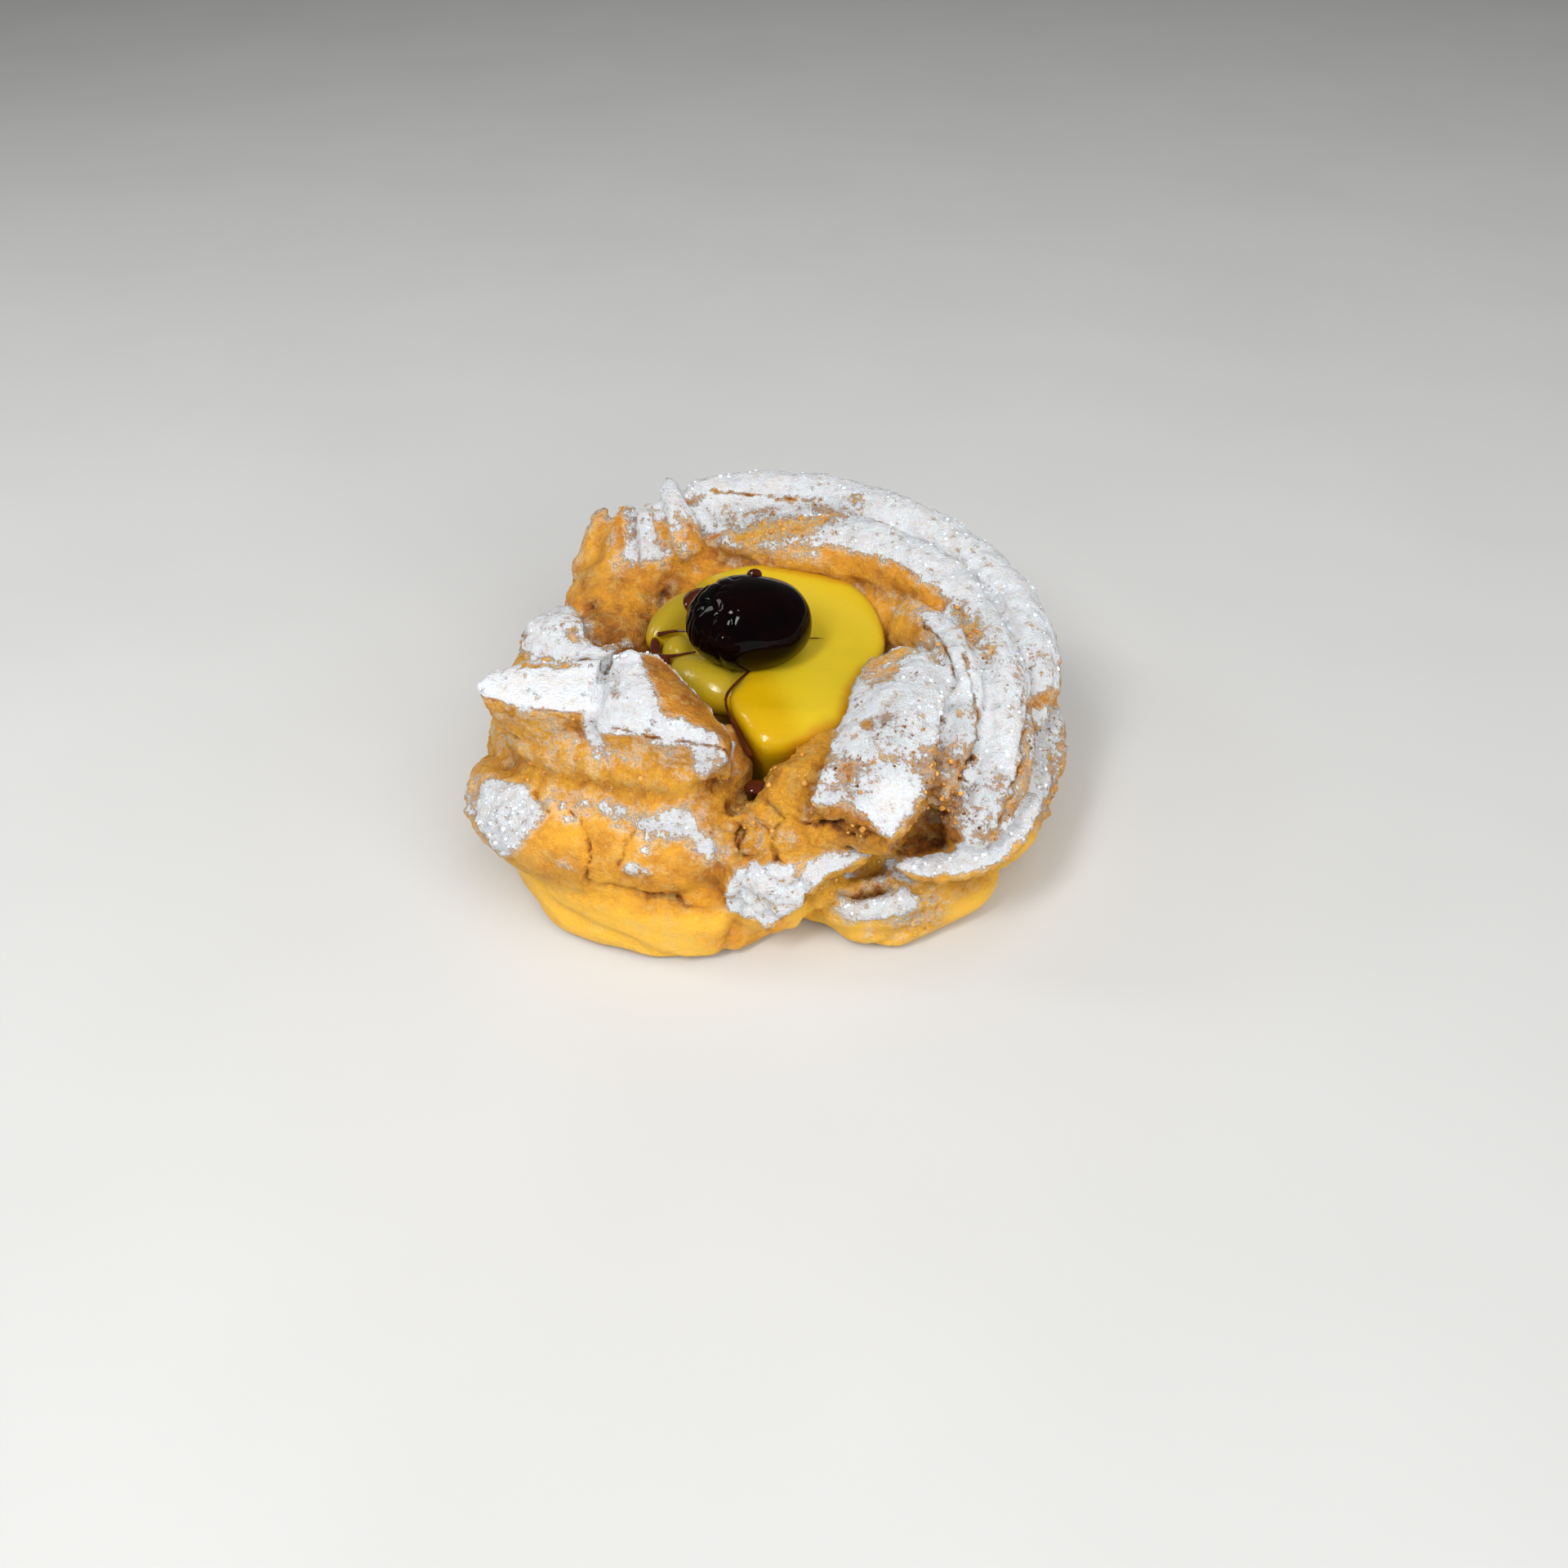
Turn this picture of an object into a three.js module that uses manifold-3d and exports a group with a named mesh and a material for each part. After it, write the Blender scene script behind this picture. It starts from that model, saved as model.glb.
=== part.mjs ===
// A zeppola: two turns of fluted choux dough piped one on the other, baked, filled with custard and
// topped with one dark cherry in syrup. Millimetres, +Z up, the origin under the middle of the pastry
// on the surface that it rests on. The open side of the upper turn looks to -X, the seam to -Y.
import * as THREE from "three";
import { mergeVertices } from "three/addons/utils/BufferGeometryUtils.js";
import Module from "manifold-3d";

const wasm = await Module();
wasm.setup();

// Driving sizes.
const footHeight = 12; // the pale bottom band
const footRound = 2.5; // rounding of its two edges
const custardLevel = 33.5; // the pool's highest surface
const custardFloor = 15; // the bottom of the hollow that it fills
const cherryHalf = { x: 10, y: 8.8, z: 8 };
const cherryAt = { x: -2.9, y: -6.2, z: 39.3 };
const clearance = 0.3; // between pieces that touch
const axisBack = -1.9; // the turns' own axis along Y, so that the whole is centred on the origin

const degrees = Math.PI / 180;

// A place given by its turn about the pastry's axis, its distance from that axis and its height.
function place(turn, out, up) {
  return new THREE.Vector3(out * Math.cos(turn * degrees), out * Math.sin(turn * degrees), up);
}

// A strand of dough: a sphere drawn out along a smooth curve. Each station holds the turn, the
// distance from the axis, the height of the strand's crest and its half width there. A high bluntness
// keeps the full width up to the ends, squash flattens the section, ridge draws its crest to an edge,
// and lean turns that edge, in degrees, away from straight up.
function strand(stations, { sides = 10, bluntness = 5, squash = 1, ridge = 0, lean = 0 } = {}) {
  const steps = 3 * stations.length + 1;
  const spine = new THREE.CatmullRomCurve3(
    stations.map(([turn, out, crest, half]) => place(turn, out, crest - half * squash * (1 + ridge))),
    false,
    "centripetal",
  );
  const widths = new THREE.CatmullRomCurve3(stations.map((s) => new THREE.Vector3(s[3], 0, 0)));
  const up = new THREE.Vector3(0, 0, 1);
  const geometry = new THREE.SphereGeometry(1, sides, steps);
  const position = geometry.getAttribute("position");
  for (let i = 0; i < position.count; i += 1) {
    const along = position.getY(i);
    const t = (1 - along) / 2;
    const turned = Math.atan2(position.getZ(i), position.getX(i));
    const onPole = Math.hypot(position.getX(i), position.getZ(i)) < 1e-6;
    const swell = onPole ? 0 : Math.pow(1 - Math.pow(Math.abs(along), bluntness), 1 / 2);
    const peak = 1 + ridge * Math.pow(Math.max(0, Math.cos(turned)), 4);
    const half = widths.getPoint(t).x * swell * peak;
    const forward = spine.getTangent(t);
    const side = new THREE.Vector3().crossVectors(forward, up).normalize();
    const over = new THREE.Vector3().crossVectors(side, forward);
    const point = spine
      .getPoint(t)
      .addScaledVector(side, half * Math.sin(turned + lean * degrees))
      .addScaledVector(over, half * squash * Math.cos(turned + lean * degrees));
    position.setXYZ(i, point.x, point.y, point.z);
  }
  return geometry;
}

// A rounded lump: a sphere scaled to its three half sizes, the first along the distance from the axis.
function lump(turn, out, crest, [radial, tangential, half], detail = 10) {
  const geometry = new THREE.SphereGeometry(1, detail, Math.round(detail * 0.7));
  geometry.rotateX(90 * degrees);
  geometry.scale(radial, tangential, half);
  geometry.rotateZ(turn * degrees);
  const centre = place(turn, out, crest - half);
  geometry.translate(centre.x, centre.y, centre.z);
  return geometry;
}

// A closed mesh as a solid. A mesh that a mapping has turned inside out is turned back.
function solid(geometry) {
  const bare = geometry.index ? geometry.clone() : mergeVertices(geometry);
  bare.deleteAttribute("normal");
  bare.deleteAttribute("uv");
  const merged = mergeVertices(bare, 1e-3);
  const make = (triVerts) =>
    new wasm.Manifold(
      new wasm.Mesh({ numProp: 3, vertProperties: merged.getAttribute("position").array, triVerts }),
    );
  const triangles = new Uint32Array(merged.index.array);
  const made = make(triangles);
  return made.volume() > 0 ? made : make(triangles.reverse());
}

function fuse(geometries) {
  return geometries.map(solid).reduce((whole, piece) => whole.add(piece));
}

function geometryOf(shape) {
  const mesh = shape.getMesh();
  const geometry = new THREE.BufferGeometry();
  geometry.setAttribute("position", new THREE.BufferAttribute(mesh.vertProperties, 3));
  geometry.setIndex(new THREE.BufferAttribute(mesh.triVerts, 1));
  return geometry;
}

// The outermost shell alone, so that any hollow sealed in by the fusing is filled.
function outerShell(shape) {
  return shape.decompose().reduce((best, part) => (part.volume() > best.volume() ? part : best));
}

// A closed smooth outline about the axis, from its turns and distances.
function outline(corners) {
  return new THREE.CatmullRomCurve3(
    corners.map(([turn, out]) => place(turn, out, 0)),
    true,
  );
}

// The foot: the flat-bottomed band that the lower turn spreads into.
const footOutline = [
  [-86, 38.5], [-96, 43], [-106, 46.3], [-119, 48.8], [-132, 50.5], [-146, 49.5], [175, 46], [150, 45],
  [120, 44], [90, 44], [60, 44], [30, 45], [0, 46.5], [-25, 46.5], [-42, 46.5], [-54, 47], [-64, 47],
  [-71, 43.5], [-78, 38],
];

function foot() {
  const points = outline(footOutline).getPoints(56).slice(0, -1);
  const shape = new THREE.Shape(points.map((p) => new THREE.Vector2(p.x, p.y)));
  const geometry = new THREE.ExtrudeGeometry(shape, {
    depth: footHeight - 2 * footRound,
    bevelThickness: footRound,
    bevelSize: footRound,
    bevelOffset: -footRound,
    bevelSegments: 2,
    curveSegments: 1,
  });
  return geometry.translate(0, 0, footRound);
}

// The lower turn, from the seam clockwise and back to it.
const lowerTurn = [
  [-96, 30, 23, 10], [-112, 31, 26, 13], [-133, 35, 27, 15], [-152, 39, 28, 15.5], [176, 36, 28, 14],
  [145, 34, 27, 14], [110, 34, 27, 14], [70, 34, 27, 14], [30, 35, 27, 14], [-5, 37, 26, 14],
  [-30, 38, 25, 14], [-46, 36, 21, 12.5], [-60, 32, 20, 11], [-76, 29, 19, 8],
];

// The upper turn's body under its flutes.
const upperBodyRight = [
  [140, 33, 34, 12], [115, 32, 36, 12], [80, 31, 38, 12.5], [40, 31, 38, 13], [5, 32, 37, 13],
  [-25, 32, 35, 13], [-46, 31, 32, 11.5], [-62, 30, 28, 8],
];
const upperBodyLeft = [
  [-174, 32, 33, 10], [-155, 33, 36.5, 12.5], [-133, 31, 37, 13.5], [-114, 31, 35.5, 11], [-98, 31, 32, 6.5],
];

// The right-hand flutes fan out from the back: the outer one first.
const rightFlutes = [
  // outermost, over the back and down the right side
  [[124, 40, 40, 5], [112, 39, 42, 7], [88, 38.5, 43, 8], [62, 38.5, 42, 8], [36, 40, 40, 7.5],
   [12, 42, 38, 7], [-8, 44, 35, 6.5], [-22, 45.5, 30, 5]],
  // second
  [[112, 26, 39, 4], [84, 24, 41, 6], [54, 26, 42, 6.5], [30, 28.5, 42, 6.5], [6, 32.5, 41, 6],
   [-14, 37, 38.5, 6], [-30, 41, 35, 6], [-42, 43.5, 30, 5.5], [-50, 44, 25.5, 4.5]],
  // third
  [[18, 23, 36, 4.5], [4, 25, 38.5, 5.5], [-11, 29.5, 39.5, 5.5], [-25, 33.7, 39.5, 5.2], [-38, 38, 37.5, 5],
   [-48, 40.5, 33.5, 4.8], [-55, 42, 29, 4]],
];
// The innermost flute is broad and nearly flat on top.
const innerFlute = [
  [-20, 25, 36, 4.5], [-34, 26, 38.3, 7], [-46, 28.5, 38.3, 9], [-57, 32, 36.5, 9.5], [-65, 36, 32, 8.5],
  [-70, 39, 27.5, 6],
];
// The golden inner side of the innermost flute, down to the custard.
const innerSide = [
  [-50, 24, 33, 4], [-66, 28, 33, 6.5], [-75, 31, 31.5, 7], [-82, 33.5, 29, 6], [-88, 35.5, 26, 4.5],
];
const outerFlanks = [
  // under the outermost flute, round the back and the right side
  [[140, 40, 29, 6], [110, 41, 31, 7.5], [75, 41.5, 31, 7.5], [35, 42, 30, 7.5], [5, 44, 27, 7],
   [-14, 45.5, 24, 5]],
  // the lower turn's own flute, coming out under the upper one
  [[60, 43, 19, 6], [25, 43.5, 20, 6.5], [-6, 45, 24, 6.5], [-20, 46, 23.5, 6.5], [-33, 46.5, 22, 5.5],
   [-42, 47, 20, 4.5]],
];
// A thin ledge over the front-right foot, and the lobe under it.
const frontRidge = [
  [-34, 47, 22, 3.4], [-43, 47.6, 21.5, 3.6], [-51, 46.5, 21, 3.4], [-59, 43, 20, 3], [-65, 41.5, 18, 2],
];
const frontRightLobe = [
  [[-30, 40, 17, 10], [-42, 39, 17, 10.5], [-54, 37, 15, 10], [-64, 34, 12, 8]],
  [[-56, 43, 14, 4.5], [-64, 42, 13.5, 4.8], [-71, 39.5, 12, 4.5], [-78, 37, 9.5, 3]],
];

// The left lobe: a short, tall piece of the upper turn whose star-shaped end looks to -X.
const leftLobe = [
  // its blunt arm to the back
  { stations: [[-142, 29, 36, 6], [-162, 32.5, 38.5, 7.5], [-174, 35.5, 39.5, 7], [180, 37.5, 38.5, 5]] },
  // its flat-topped arm to the left, and that arm's sharp lower edge
  {
    stations: [[-129, 28, 38.5, 6], [-143, 33.5, 39.3, 7.5], [-151, 39, 39, 7], [-155, 44.5, 38.6, 5.5],
      [-157, 48, 38.6, 3]],
  },
  {
    stations: [[-158, 48.5, 38, 1.6], [-152, 46.3, 37.4, 3], [-144, 42, 37.8, 4.5], [-136, 38, 38, 5],
      [-128, 36, 37, 4]],
    shape: { ridge: 0.2, lean: 50 },
  },
  // the inner ridge, from its peak along the custard to the seam
  {
    stations: [[-149, 24, 43, 1.5], [-141, 25.5, 41.8, 4.5], [-131, 27.8, 41, 7], [-120, 30, 40, 8],
      [-109, 32, 38.5, 7], [-101, 34, 36, 5]],
    shape: { ridge: 0.1, lean: -25 },
  },
  // the same ridge's outer edge
  {
    stations: [[-131, 36, 38.5, 3], [-124, 34.8, 39, 5.5], [-114, 33.8, 39, 6], [-106, 34.8, 38, 5.5],
      [-99, 37, 35, 4]],
    shape: { ridge: 0.2, lean: 40 },
  },
  // the rough side under the two edges
  {
    stations: [[-166, 39, 30, 6], [-152, 40, 31, 8], [-134, 37, 31.5, 8], [-114, 33, 31, 7.5],
      [-98, 32, 29, 5]],
  },
];
// The lower turn's shoulder under the left lobe.
const leftShoulder = [
  [-170, 43, 22, 8], [-152, 46, 24.5, 9], [-138, 43.5, 25.5, 9.5], [-121, 38, 26, 9.5], [-107, 34, 25, 9],
  [-96, 32, 22, 7],
];
// The low, smooth stretch between the left lobe and the back-left end.
const saddle = [[-176, 31, 32, 7], [171, 30.5, 31, 8.5], [156, 29.5, 30.5, 8.5], [142, 30.5, 31, 8]];

// The back-left end: four narrow flutes that run down it from two small hooks.
const backLeftEnd = [
  [[156, 33, 26, 10], [142, 35.5, 31.5, 12.5], [128, 34.5, 37.5, 12.5]],
  [[130, 48, 38, 1.2], [135, 45.5, 36.5, 4], [140, 44.3, 29, 5], [144, 42, 18, 5]],
  [[125, 44.5, 39, 2], [131, 41.5, 37.3, 4], [138, 38.5, 32, 4.4], [145, 36, 22, 4]],
  [[120, 42.5, 40.5, 2.4], [125, 38, 39, 4], [131, 33.5, 34.5, 4.4], [138, 28.5, 27, 4]],
  [[115, 42.5, 42.6, 1], [116, 38, 41.5, 3.8], [117, 31.5, 38.5, 5], [118, 25, 34, 4.5]],
];

// The broken seam at the front.
const seam = [
  lump(-84, 31.5, 29, [4.5, 6, 8]),
  lump(-92, 34, 25.5, [6, 6, 9]),
  lump(-86, 36, 21, [5, 6, 8]),
  lump(-78, 35, 20, [6, 6, 7]),
  lump(-90, 39, 18.5, [5, 7, 7.5]),
];
const seamRidge = [[-86, 39.5, 15, 2], [-80, 40.5, 17.5, 2.6], [-74, 40.8, 19, 2.8], [-67, 40, 20.5, 2.4]];

function pastry() {
  const strands = [
    strand(lowerTurn, { sides: 14 }),
    strand(upperBodyRight, { sides: 12 }),
    strand(upperBodyLeft, { sides: 12 }),
    ...rightFlutes.map((stations) => strand(stations, { ridge: 0.12 })),
    strand(innerFlute, { ridge: 0.05, squash: 0.8 }),
    strand(innerSide),
    ...outerFlanks.map((stations) => strand(stations)),
    strand(frontRidge, { ridge: 0.2 }),
    ...frontRightLobe.map((stations) => strand(stations)),
    ...leftLobe.map(({ stations, shape }) => strand(stations, shape)),
    strand(leftShoulder),
    strand(saddle),
    ...backLeftEnd.map((stations) => strand(stations)),
    ...seam,
    strand(seamRidge),
  ];
  const whole = fuse([foot(), ...strands]);
  const below = new THREE.BoxGeometry(200, 200, 60).translate(0, 0, -30);
  const cut = whole.subtract(solid(below)).subtract(solid(custardShape(clearance)));
  return outerShell(solid(geometryOf(outerShell(cut.simplify(0.05)))));
}

// The custard: a pool with a rounded edge, filling the hollow.
const custardOutline = [
  [170, 21.5], [150, 22], [125, 22], [100, 22.5], [75, 23.5], [50, 22.5], [25, 20.5], [0, 20], [-25, 20],
  [-48, 22], [-66, 25.5], [-79, 27.5], [-90, 27.5], [-99, 21.5], [-114, 18.4], [-140, 17.3], [-165, 18],
];

function custardShape(grow = 0) {
  const rim = outline(custardOutline);
  const rimPoints = rim.getPoints(180).map((p) => [Math.atan2(p.y, p.x), Math.hypot(p.x, p.y)]);
  const reach = (around) =>
    rimPoints.reduce((best, p) => {
      const off = Math.abs(Math.atan2(Math.sin(p[0] - around), Math.cos(p[0] - around)));
      return off < best[0] ? [off, p[1]] : best;
    }, [9, 0])[1];
  const geometry = new THREE.SphereGeometry(1, 36, 14).rotateX(90 * degrees);
  const position = geometry.getAttribute("position");
  const middle = (custardLevel + custardFloor) / 2;
  for (let i = 0; i < position.count; i += 1) {
    const [x, y, z] = [position.getX(i), position.getY(i), position.getZ(i)];
    const flat = Math.hypot(x, y);
    const around = Math.atan2(y, x);
    const out = Math.pow(flat, 0.45) * (reach(around) * (z < 0 ? 0.75 + 0.25 * flat : 1) + grow);
    const half = (custardLevel - custardFloor) / 2 + grow;
    position.setXYZ(i, out * Math.cos(around), out * Math.sin(around), middle + half * z);
  }
  return geometry;
}

// The cherry: a little wrinkled, and wider than it is tall.
function cherryShape(grow = 0) {
  const geometry = new THREE.SphereGeometry(1, 24, 14).rotateX(90 * degrees);
  const position = geometry.getAttribute("position");
  for (let i = 0; i < position.count; i += 1) {
    const around = Math.atan2(position.getY(i), position.getX(i));
    const wrinkle = 1 + 0.015 * Math.sin(5 * around + 2 * position.getZ(i)) * (1 - position.getZ(i) ** 2);
    position.setXYZ(
      i,
      position.getX(i) * (cherryHalf.x + grow) * wrinkle,
      position.getY(i) * (cherryHalf.y + grow) * wrinkle,
      position.getZ(i) * (cherryHalf.z + grow),
    );
  }
  return geometry.translate(cherryAt.x, cherryAt.y, cherryAt.z);
}

function piece(name, shape, material) {
  const geometry = geometryOf(shape);
  geometry.computeVertexNormals();
  geometry.translate(0, axisBack, 0);
  const made = new THREE.Mesh(geometry, new THREE.MeshStandardMaterial(material));
  made.name = name;
  return made;
}

const zeppola = new THREE.Group();
zeppola.add(
  piece("pastry", pastry(), { color: 0xd9a058, roughness: 0.85, metalness: 0 }),
  piece("custard", solid(custardShape()).subtract(solid(cherryShape(clearance))), {
    color: 0xe6bd1a,
    roughness: 0.25,
    metalness: 0,
  }),
  piece("cherry", solid(cherryShape()), { color: 0x120608, roughness: 0.08, metalness: 0 }),
);

export default zeppola;
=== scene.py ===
import math

import bpy
import numpy as np
from mathutils import Euler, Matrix, Vector, kdtree, noise
from mathutils.bvhtree import BVHTree


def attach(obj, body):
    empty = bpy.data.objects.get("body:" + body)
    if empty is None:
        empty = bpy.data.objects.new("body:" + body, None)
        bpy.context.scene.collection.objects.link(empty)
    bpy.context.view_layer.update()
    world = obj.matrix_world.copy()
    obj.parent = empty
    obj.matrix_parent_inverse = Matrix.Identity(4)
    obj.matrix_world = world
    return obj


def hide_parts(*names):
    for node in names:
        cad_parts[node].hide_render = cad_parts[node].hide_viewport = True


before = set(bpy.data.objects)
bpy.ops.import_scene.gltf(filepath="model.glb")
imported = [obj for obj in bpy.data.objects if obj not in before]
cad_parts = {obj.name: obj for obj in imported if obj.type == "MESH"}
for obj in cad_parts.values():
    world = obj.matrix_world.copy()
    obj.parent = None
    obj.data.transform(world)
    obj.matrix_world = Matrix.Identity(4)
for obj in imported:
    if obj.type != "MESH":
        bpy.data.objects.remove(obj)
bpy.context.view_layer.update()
mm = 0.001
bpy.ops.object.select_all(action='DESELECT')


def clearSelection():
    if bpy.context.object and bpy.context.object.mode != 'OBJECT':
        bpy.ops.object.mode_set(mode='OBJECT')
    bpy.ops.object.select_all(action='DESELECT')


def pick(piece):
    clearSelection()
    piece.select_set(True)
    bpy.context.view_layer.objects.active = piece


def applyModifier(piece, kind, **settings):
    # add one modifier, set it and apply it straight away
    pick(piece)
    bpy.ops.object.modifier_add(type=kind)
    modifier = piece.modifiers[-1]
    for setting, value in settings.items():
        setattr(modifier, setting, value)
    bpy.ops.object.modifier_apply(modifier=modifier.name)


def remesh(piece, voxel):
    applyModifier(piece, 'REMESH', mode='VOXEL', voxel_size=voxel * mm)


def shadeSmooth(piece):
    pick(piece)
    bpy.ops.object.shade_smooth()


def editWhole():
    # edit mode, with everything selected
    bpy.ops.object.mode_set(mode='EDIT')
    bpy.ops.mesh.select_all(action='SELECT')


def joinAll(pieces, name):
    clearSelection()
    for piece in pieces:
        piece.select_set(True)
    bpy.context.view_layer.objects.active = pieces[0]
    bpy.ops.object.join()
    pieces[0].name = name
    bpy.ops.object.transform_apply(location=True, rotation=True, scale=True)
    return pieces[0]


def rowsOf(items, name, width, kind=float):
    # what each item stores under this name, one row each
    values = np.empty(len(items) * width, kind)
    items.foreach_get(name, values)
    return values.reshape(-1, width)


def spotsOf(piece):
    # the vertices of a piece in mm
    return rowsOf(piece.data.vertices, "co", 3) / mm


def moveSpots(piece, spots):
    piece.data.vertices.foreach_set("co", (spots * mm).ravel())
    piece.data.update()


def normalsOf(piece):
    return rowsOf(piece.data.vertices, "normal", 3)


def neighboursOf(piece):
    # the two ends of each edge
    return rowsOf(piece.data.edges, "vertices", 2, int)


def spread(values, edges, rounds):
    # each vertex takes the mean of its neighbours, again and again
    count = len(values)
    degree = np.bincount(edges.ravel(), minlength=count)
    columns = values.reshape(count, -1)
    for step in range(rounds):
        total = np.empty_like(columns)
        for axis in range(columns.shape[1]):
            total[:, axis] = np.bincount(edges[:, 0], columns[edges[:, 1], axis], count)
            total[:, axis] += np.bincount(edges[:, 1], columns[edges[:, 0], axis], count)
        columns = (columns + total) / (degree + 1)[:, None]
    return columns.reshape(values.shape)


def ease(values, low, high):
    # 0 below low, 1 above high, smooth between
    t = np.clip((values - low) / (high - low), 0, 1)
    return t * t * (3 - 2 * t)


def lumps(spots, size, seed=0, octaves=1):
    # soft noise between about -1 and 1 in lumps of this size, in mm
    shift = Vector((seed * 7.3, seed * 3.1, seed * 5.7))
    return np.array([noise.fractal(Vector(s) / size + shift, 1.0, 2.0, octaves) for s in spots])


def keep(piece, name, values):
    # store one number a vertex for the materials to read
    layer = piece.data.attributes.new(name, 'FLOAT', 'POINT')
    layer.data.foreach_set("value", np.clip(values, 0, 1).astype(np.float32))


camera = {
    "spot": (3 * mm, -177.9 * mm, 160 * mm),
    "lookDown": 42.5,      # degrees below the horizon
    "lens": 29.625,
    "sensor": 36,
    "clipStart": 5,        # mm
}
bpy.ops.object.camera_add(location=camera["spot"], rotation=(math.radians(90 - camera["lookDown"]), 0, 0))
view = bpy.context.object
view.data.lens = camera["lens"]
view.data.sensor_width = camera["sensor"]
view.data.clip_start = camera["clipStart"] * mm
bpy.context.scene.camera = view
bpy.context.scene.view_settings.view_transform = 'Standard'

# a lamp is (turn, rise, distance, size, power), in degrees, metres and watts
light = {
    "key": (-35, 52, 0.6, 0.1, 1.95),
    "side": (-98, 36, 0.6, 0.09, 0.5),
    "top": (30, 72, 1.1, 1.1, 6.7),
    "fill": (32, 28, 0.8, 0.8, 5.0),
    "aim": 0.02,      # how high above the floor the lamps point, in metres
    "sky": 0.13,
    "skyTint": (1.0, 0.99, 0.97),
    "tall": 2.2,      # the two small lamps are this many times as tall as wide, like windows
    "floorSize": 3,
    "floorDrop": 0.2,      # how far below the foot the floor lies, in mm
}


def lamp(name, turn, rise, far, size, power):
    # turn is measured from the camera's side, to the right; rise is degrees above the floor
    a, e = math.radians(turn), math.radians(rise)
    spot = Vector((math.sin(a) * math.cos(e), -math.cos(a) * math.cos(e), math.sin(e))) * far
    bpy.ops.object.light_add(type='AREA', location=spot)
    made = bpy.context.object
    made.name = name
    made.data.size = size
    made.data.energy = power
    made.rotation_euler = (Vector((0, 0, light["aim"])) - spot).to_track_quat('-Z', 'Y').to_euler()
    return made


for name in ("key", "side", "top", "fill"):
    lit = lamp(name + "Light", *light[name])
    if name in ("key", "side"):
        lit.data.shape = 'RECTANGLE'
        lit.data.size_y = lit.data.size * light["tall"]
    else:
        lit.visible_glossy = False      # the cherry shows only the two small lamps
world = bpy.data.worlds.new("studio")
bpy.context.scene.world = world
world.use_nodes = True
sky = world.node_tree.nodes["Background"].inputs
sky["Color"].default_value = (*light["skyTint"], 1)
sky["Strength"].default_value = light["sky"]

bpy.ops.mesh.primitive_plane_add(size=light["floorSize"], location=(0, 0, -light["floorDrop"] * mm))
floor = bpy.context.object
floor.name = "floor"
print("camera, light and floor stand")


class Wire:
    # one socket; sums on it add Math nodes
    def __init__(self, finish, socket):
        self.finish = finish
        self.socket = socket

    def sum(self, operation, first, second):
        return self.finish.node('Math', {"operation": operation}, {0: first, 1: second})

    def __add__(self, other): return self.sum('ADD', self, other)
    def __radd__(self, other): return self.sum('ADD', other, self)
    def __sub__(self, other): return self.sum('SUBTRACT', self, other)
    def __mul__(self, other): return self.sum('MULTIPLY', self, other)


class Finish:
    # one material, with a Principled shader to fill in
    def __init__(self, name, **constants):
        self.material = bpy.data.materials.new(name)
        self.material.use_nodes = True
        self.nodes = self.material.node_tree.nodes
        self.links = self.material.node_tree.links
        self.shader = self.nodes["Principled BSDF"]
        self.finishWith(**constants)

    def set(self, node, sockets):
        for key, value in sockets.items():
            if isinstance(value, Wire):
                self.links.new(value.socket, node.inputs[key])
            else:
                node.inputs[key].default_value = value

    def node(self, kind, settings=None, sockets=None, output=0):
        made = self.nodes.new("ShaderNode" + kind)
        for setting, value in (settings or {}).items():
            if setting == "stops":
                self.fillRamp(made.color_ramp, value)
            else:
                setattr(made, setting, value)
        self.set(made, sockets or {})
        return Wire(self, made.outputs[output])

    def fillRamp(self, ramp, stops):
        while len(ramp.elements) < len(stops):
            ramp.elements.new(1)
        for element, (position, colour) in zip(ramp.elements, stops):
            element.position = position
            element.color = (*colour, 1)

    def place(self):
        return self.node('TexCoord', output=3)

    def grain(self, place, size, detail=2, rough=0.5):
        # noise from 0 to 1 in grains of this size, in mm
        return self.node('TexNoise', None, {
            "Vector": place, "Scale": 1 / (size * mm), "Detail": detail, "Roughness": rough})

    def cells(self, place, size):
        return self.node('TexVoronoi', None, {"Vector": place, "Scale": 1 / (size * mm)})

    def stored(self, name):
        return self.node('Attribute', {"attribute_name": name}, output=2)

    def steps(self, value, low, high, bottom=0.0, top=1.0):
        return self.node('MapRange', {"interpolation_type": 'SMOOTHSTEP'},
                         {"Value": value, "From Min": low, "From Max": high, "To Min": bottom, "To Max": top})

    def blend(self, amount, first, second):
        return self.node('Mix', {"data_type": 'RGBA'}, {0: amount, 6: first, 7: second}, output=2)

    def ramp(self, value, stops):
        return self.node('ValToRGB', {"stops": stops}, {"Fac": value})

    def bump(self, height, depth):
        return self.node('Bump', None, {"Height": height, "Distance": depth * mm, "Strength": 1.0})

    def finishWith(self, **sockets):
        self.set(self.shader, {key.replace("_", " "): value for key, value in sockets.items()})
        return self.material


def dress(piece, material):
    piece.data.materials.clear()
    piece.data.materials.append(material)
    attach(piece, "root")


floorFinish = Finish("paleFloor", Roughness=0.75)
mottle = floorFinish.grain(floorFinish.place(), 60)
floor.data.materials.append(floorFinish.finishWith(
    Base_Color=floorFinish.ramp(mottle, [(0.3, (0.56, 0.56, 0.55)), (0.7, (0.58, 0.58, 0.57))])))


dough = {
    "axisBack": -1.9,
    "footHeight": 12,
    "footRound": 2.5,
    "voxel": 0.42,
    "coarseVoxel": 0.7,
    "ringStep": 1.4,
    "ringSides": 28,
    "bluntness": 5,
    "thinnest": 0.02,         # what is left of a strand's width at its very ends
    "triangles": 197000,
    "fineFactor": 4.0,        # how much dearer it is to simplify what shows
}

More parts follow.
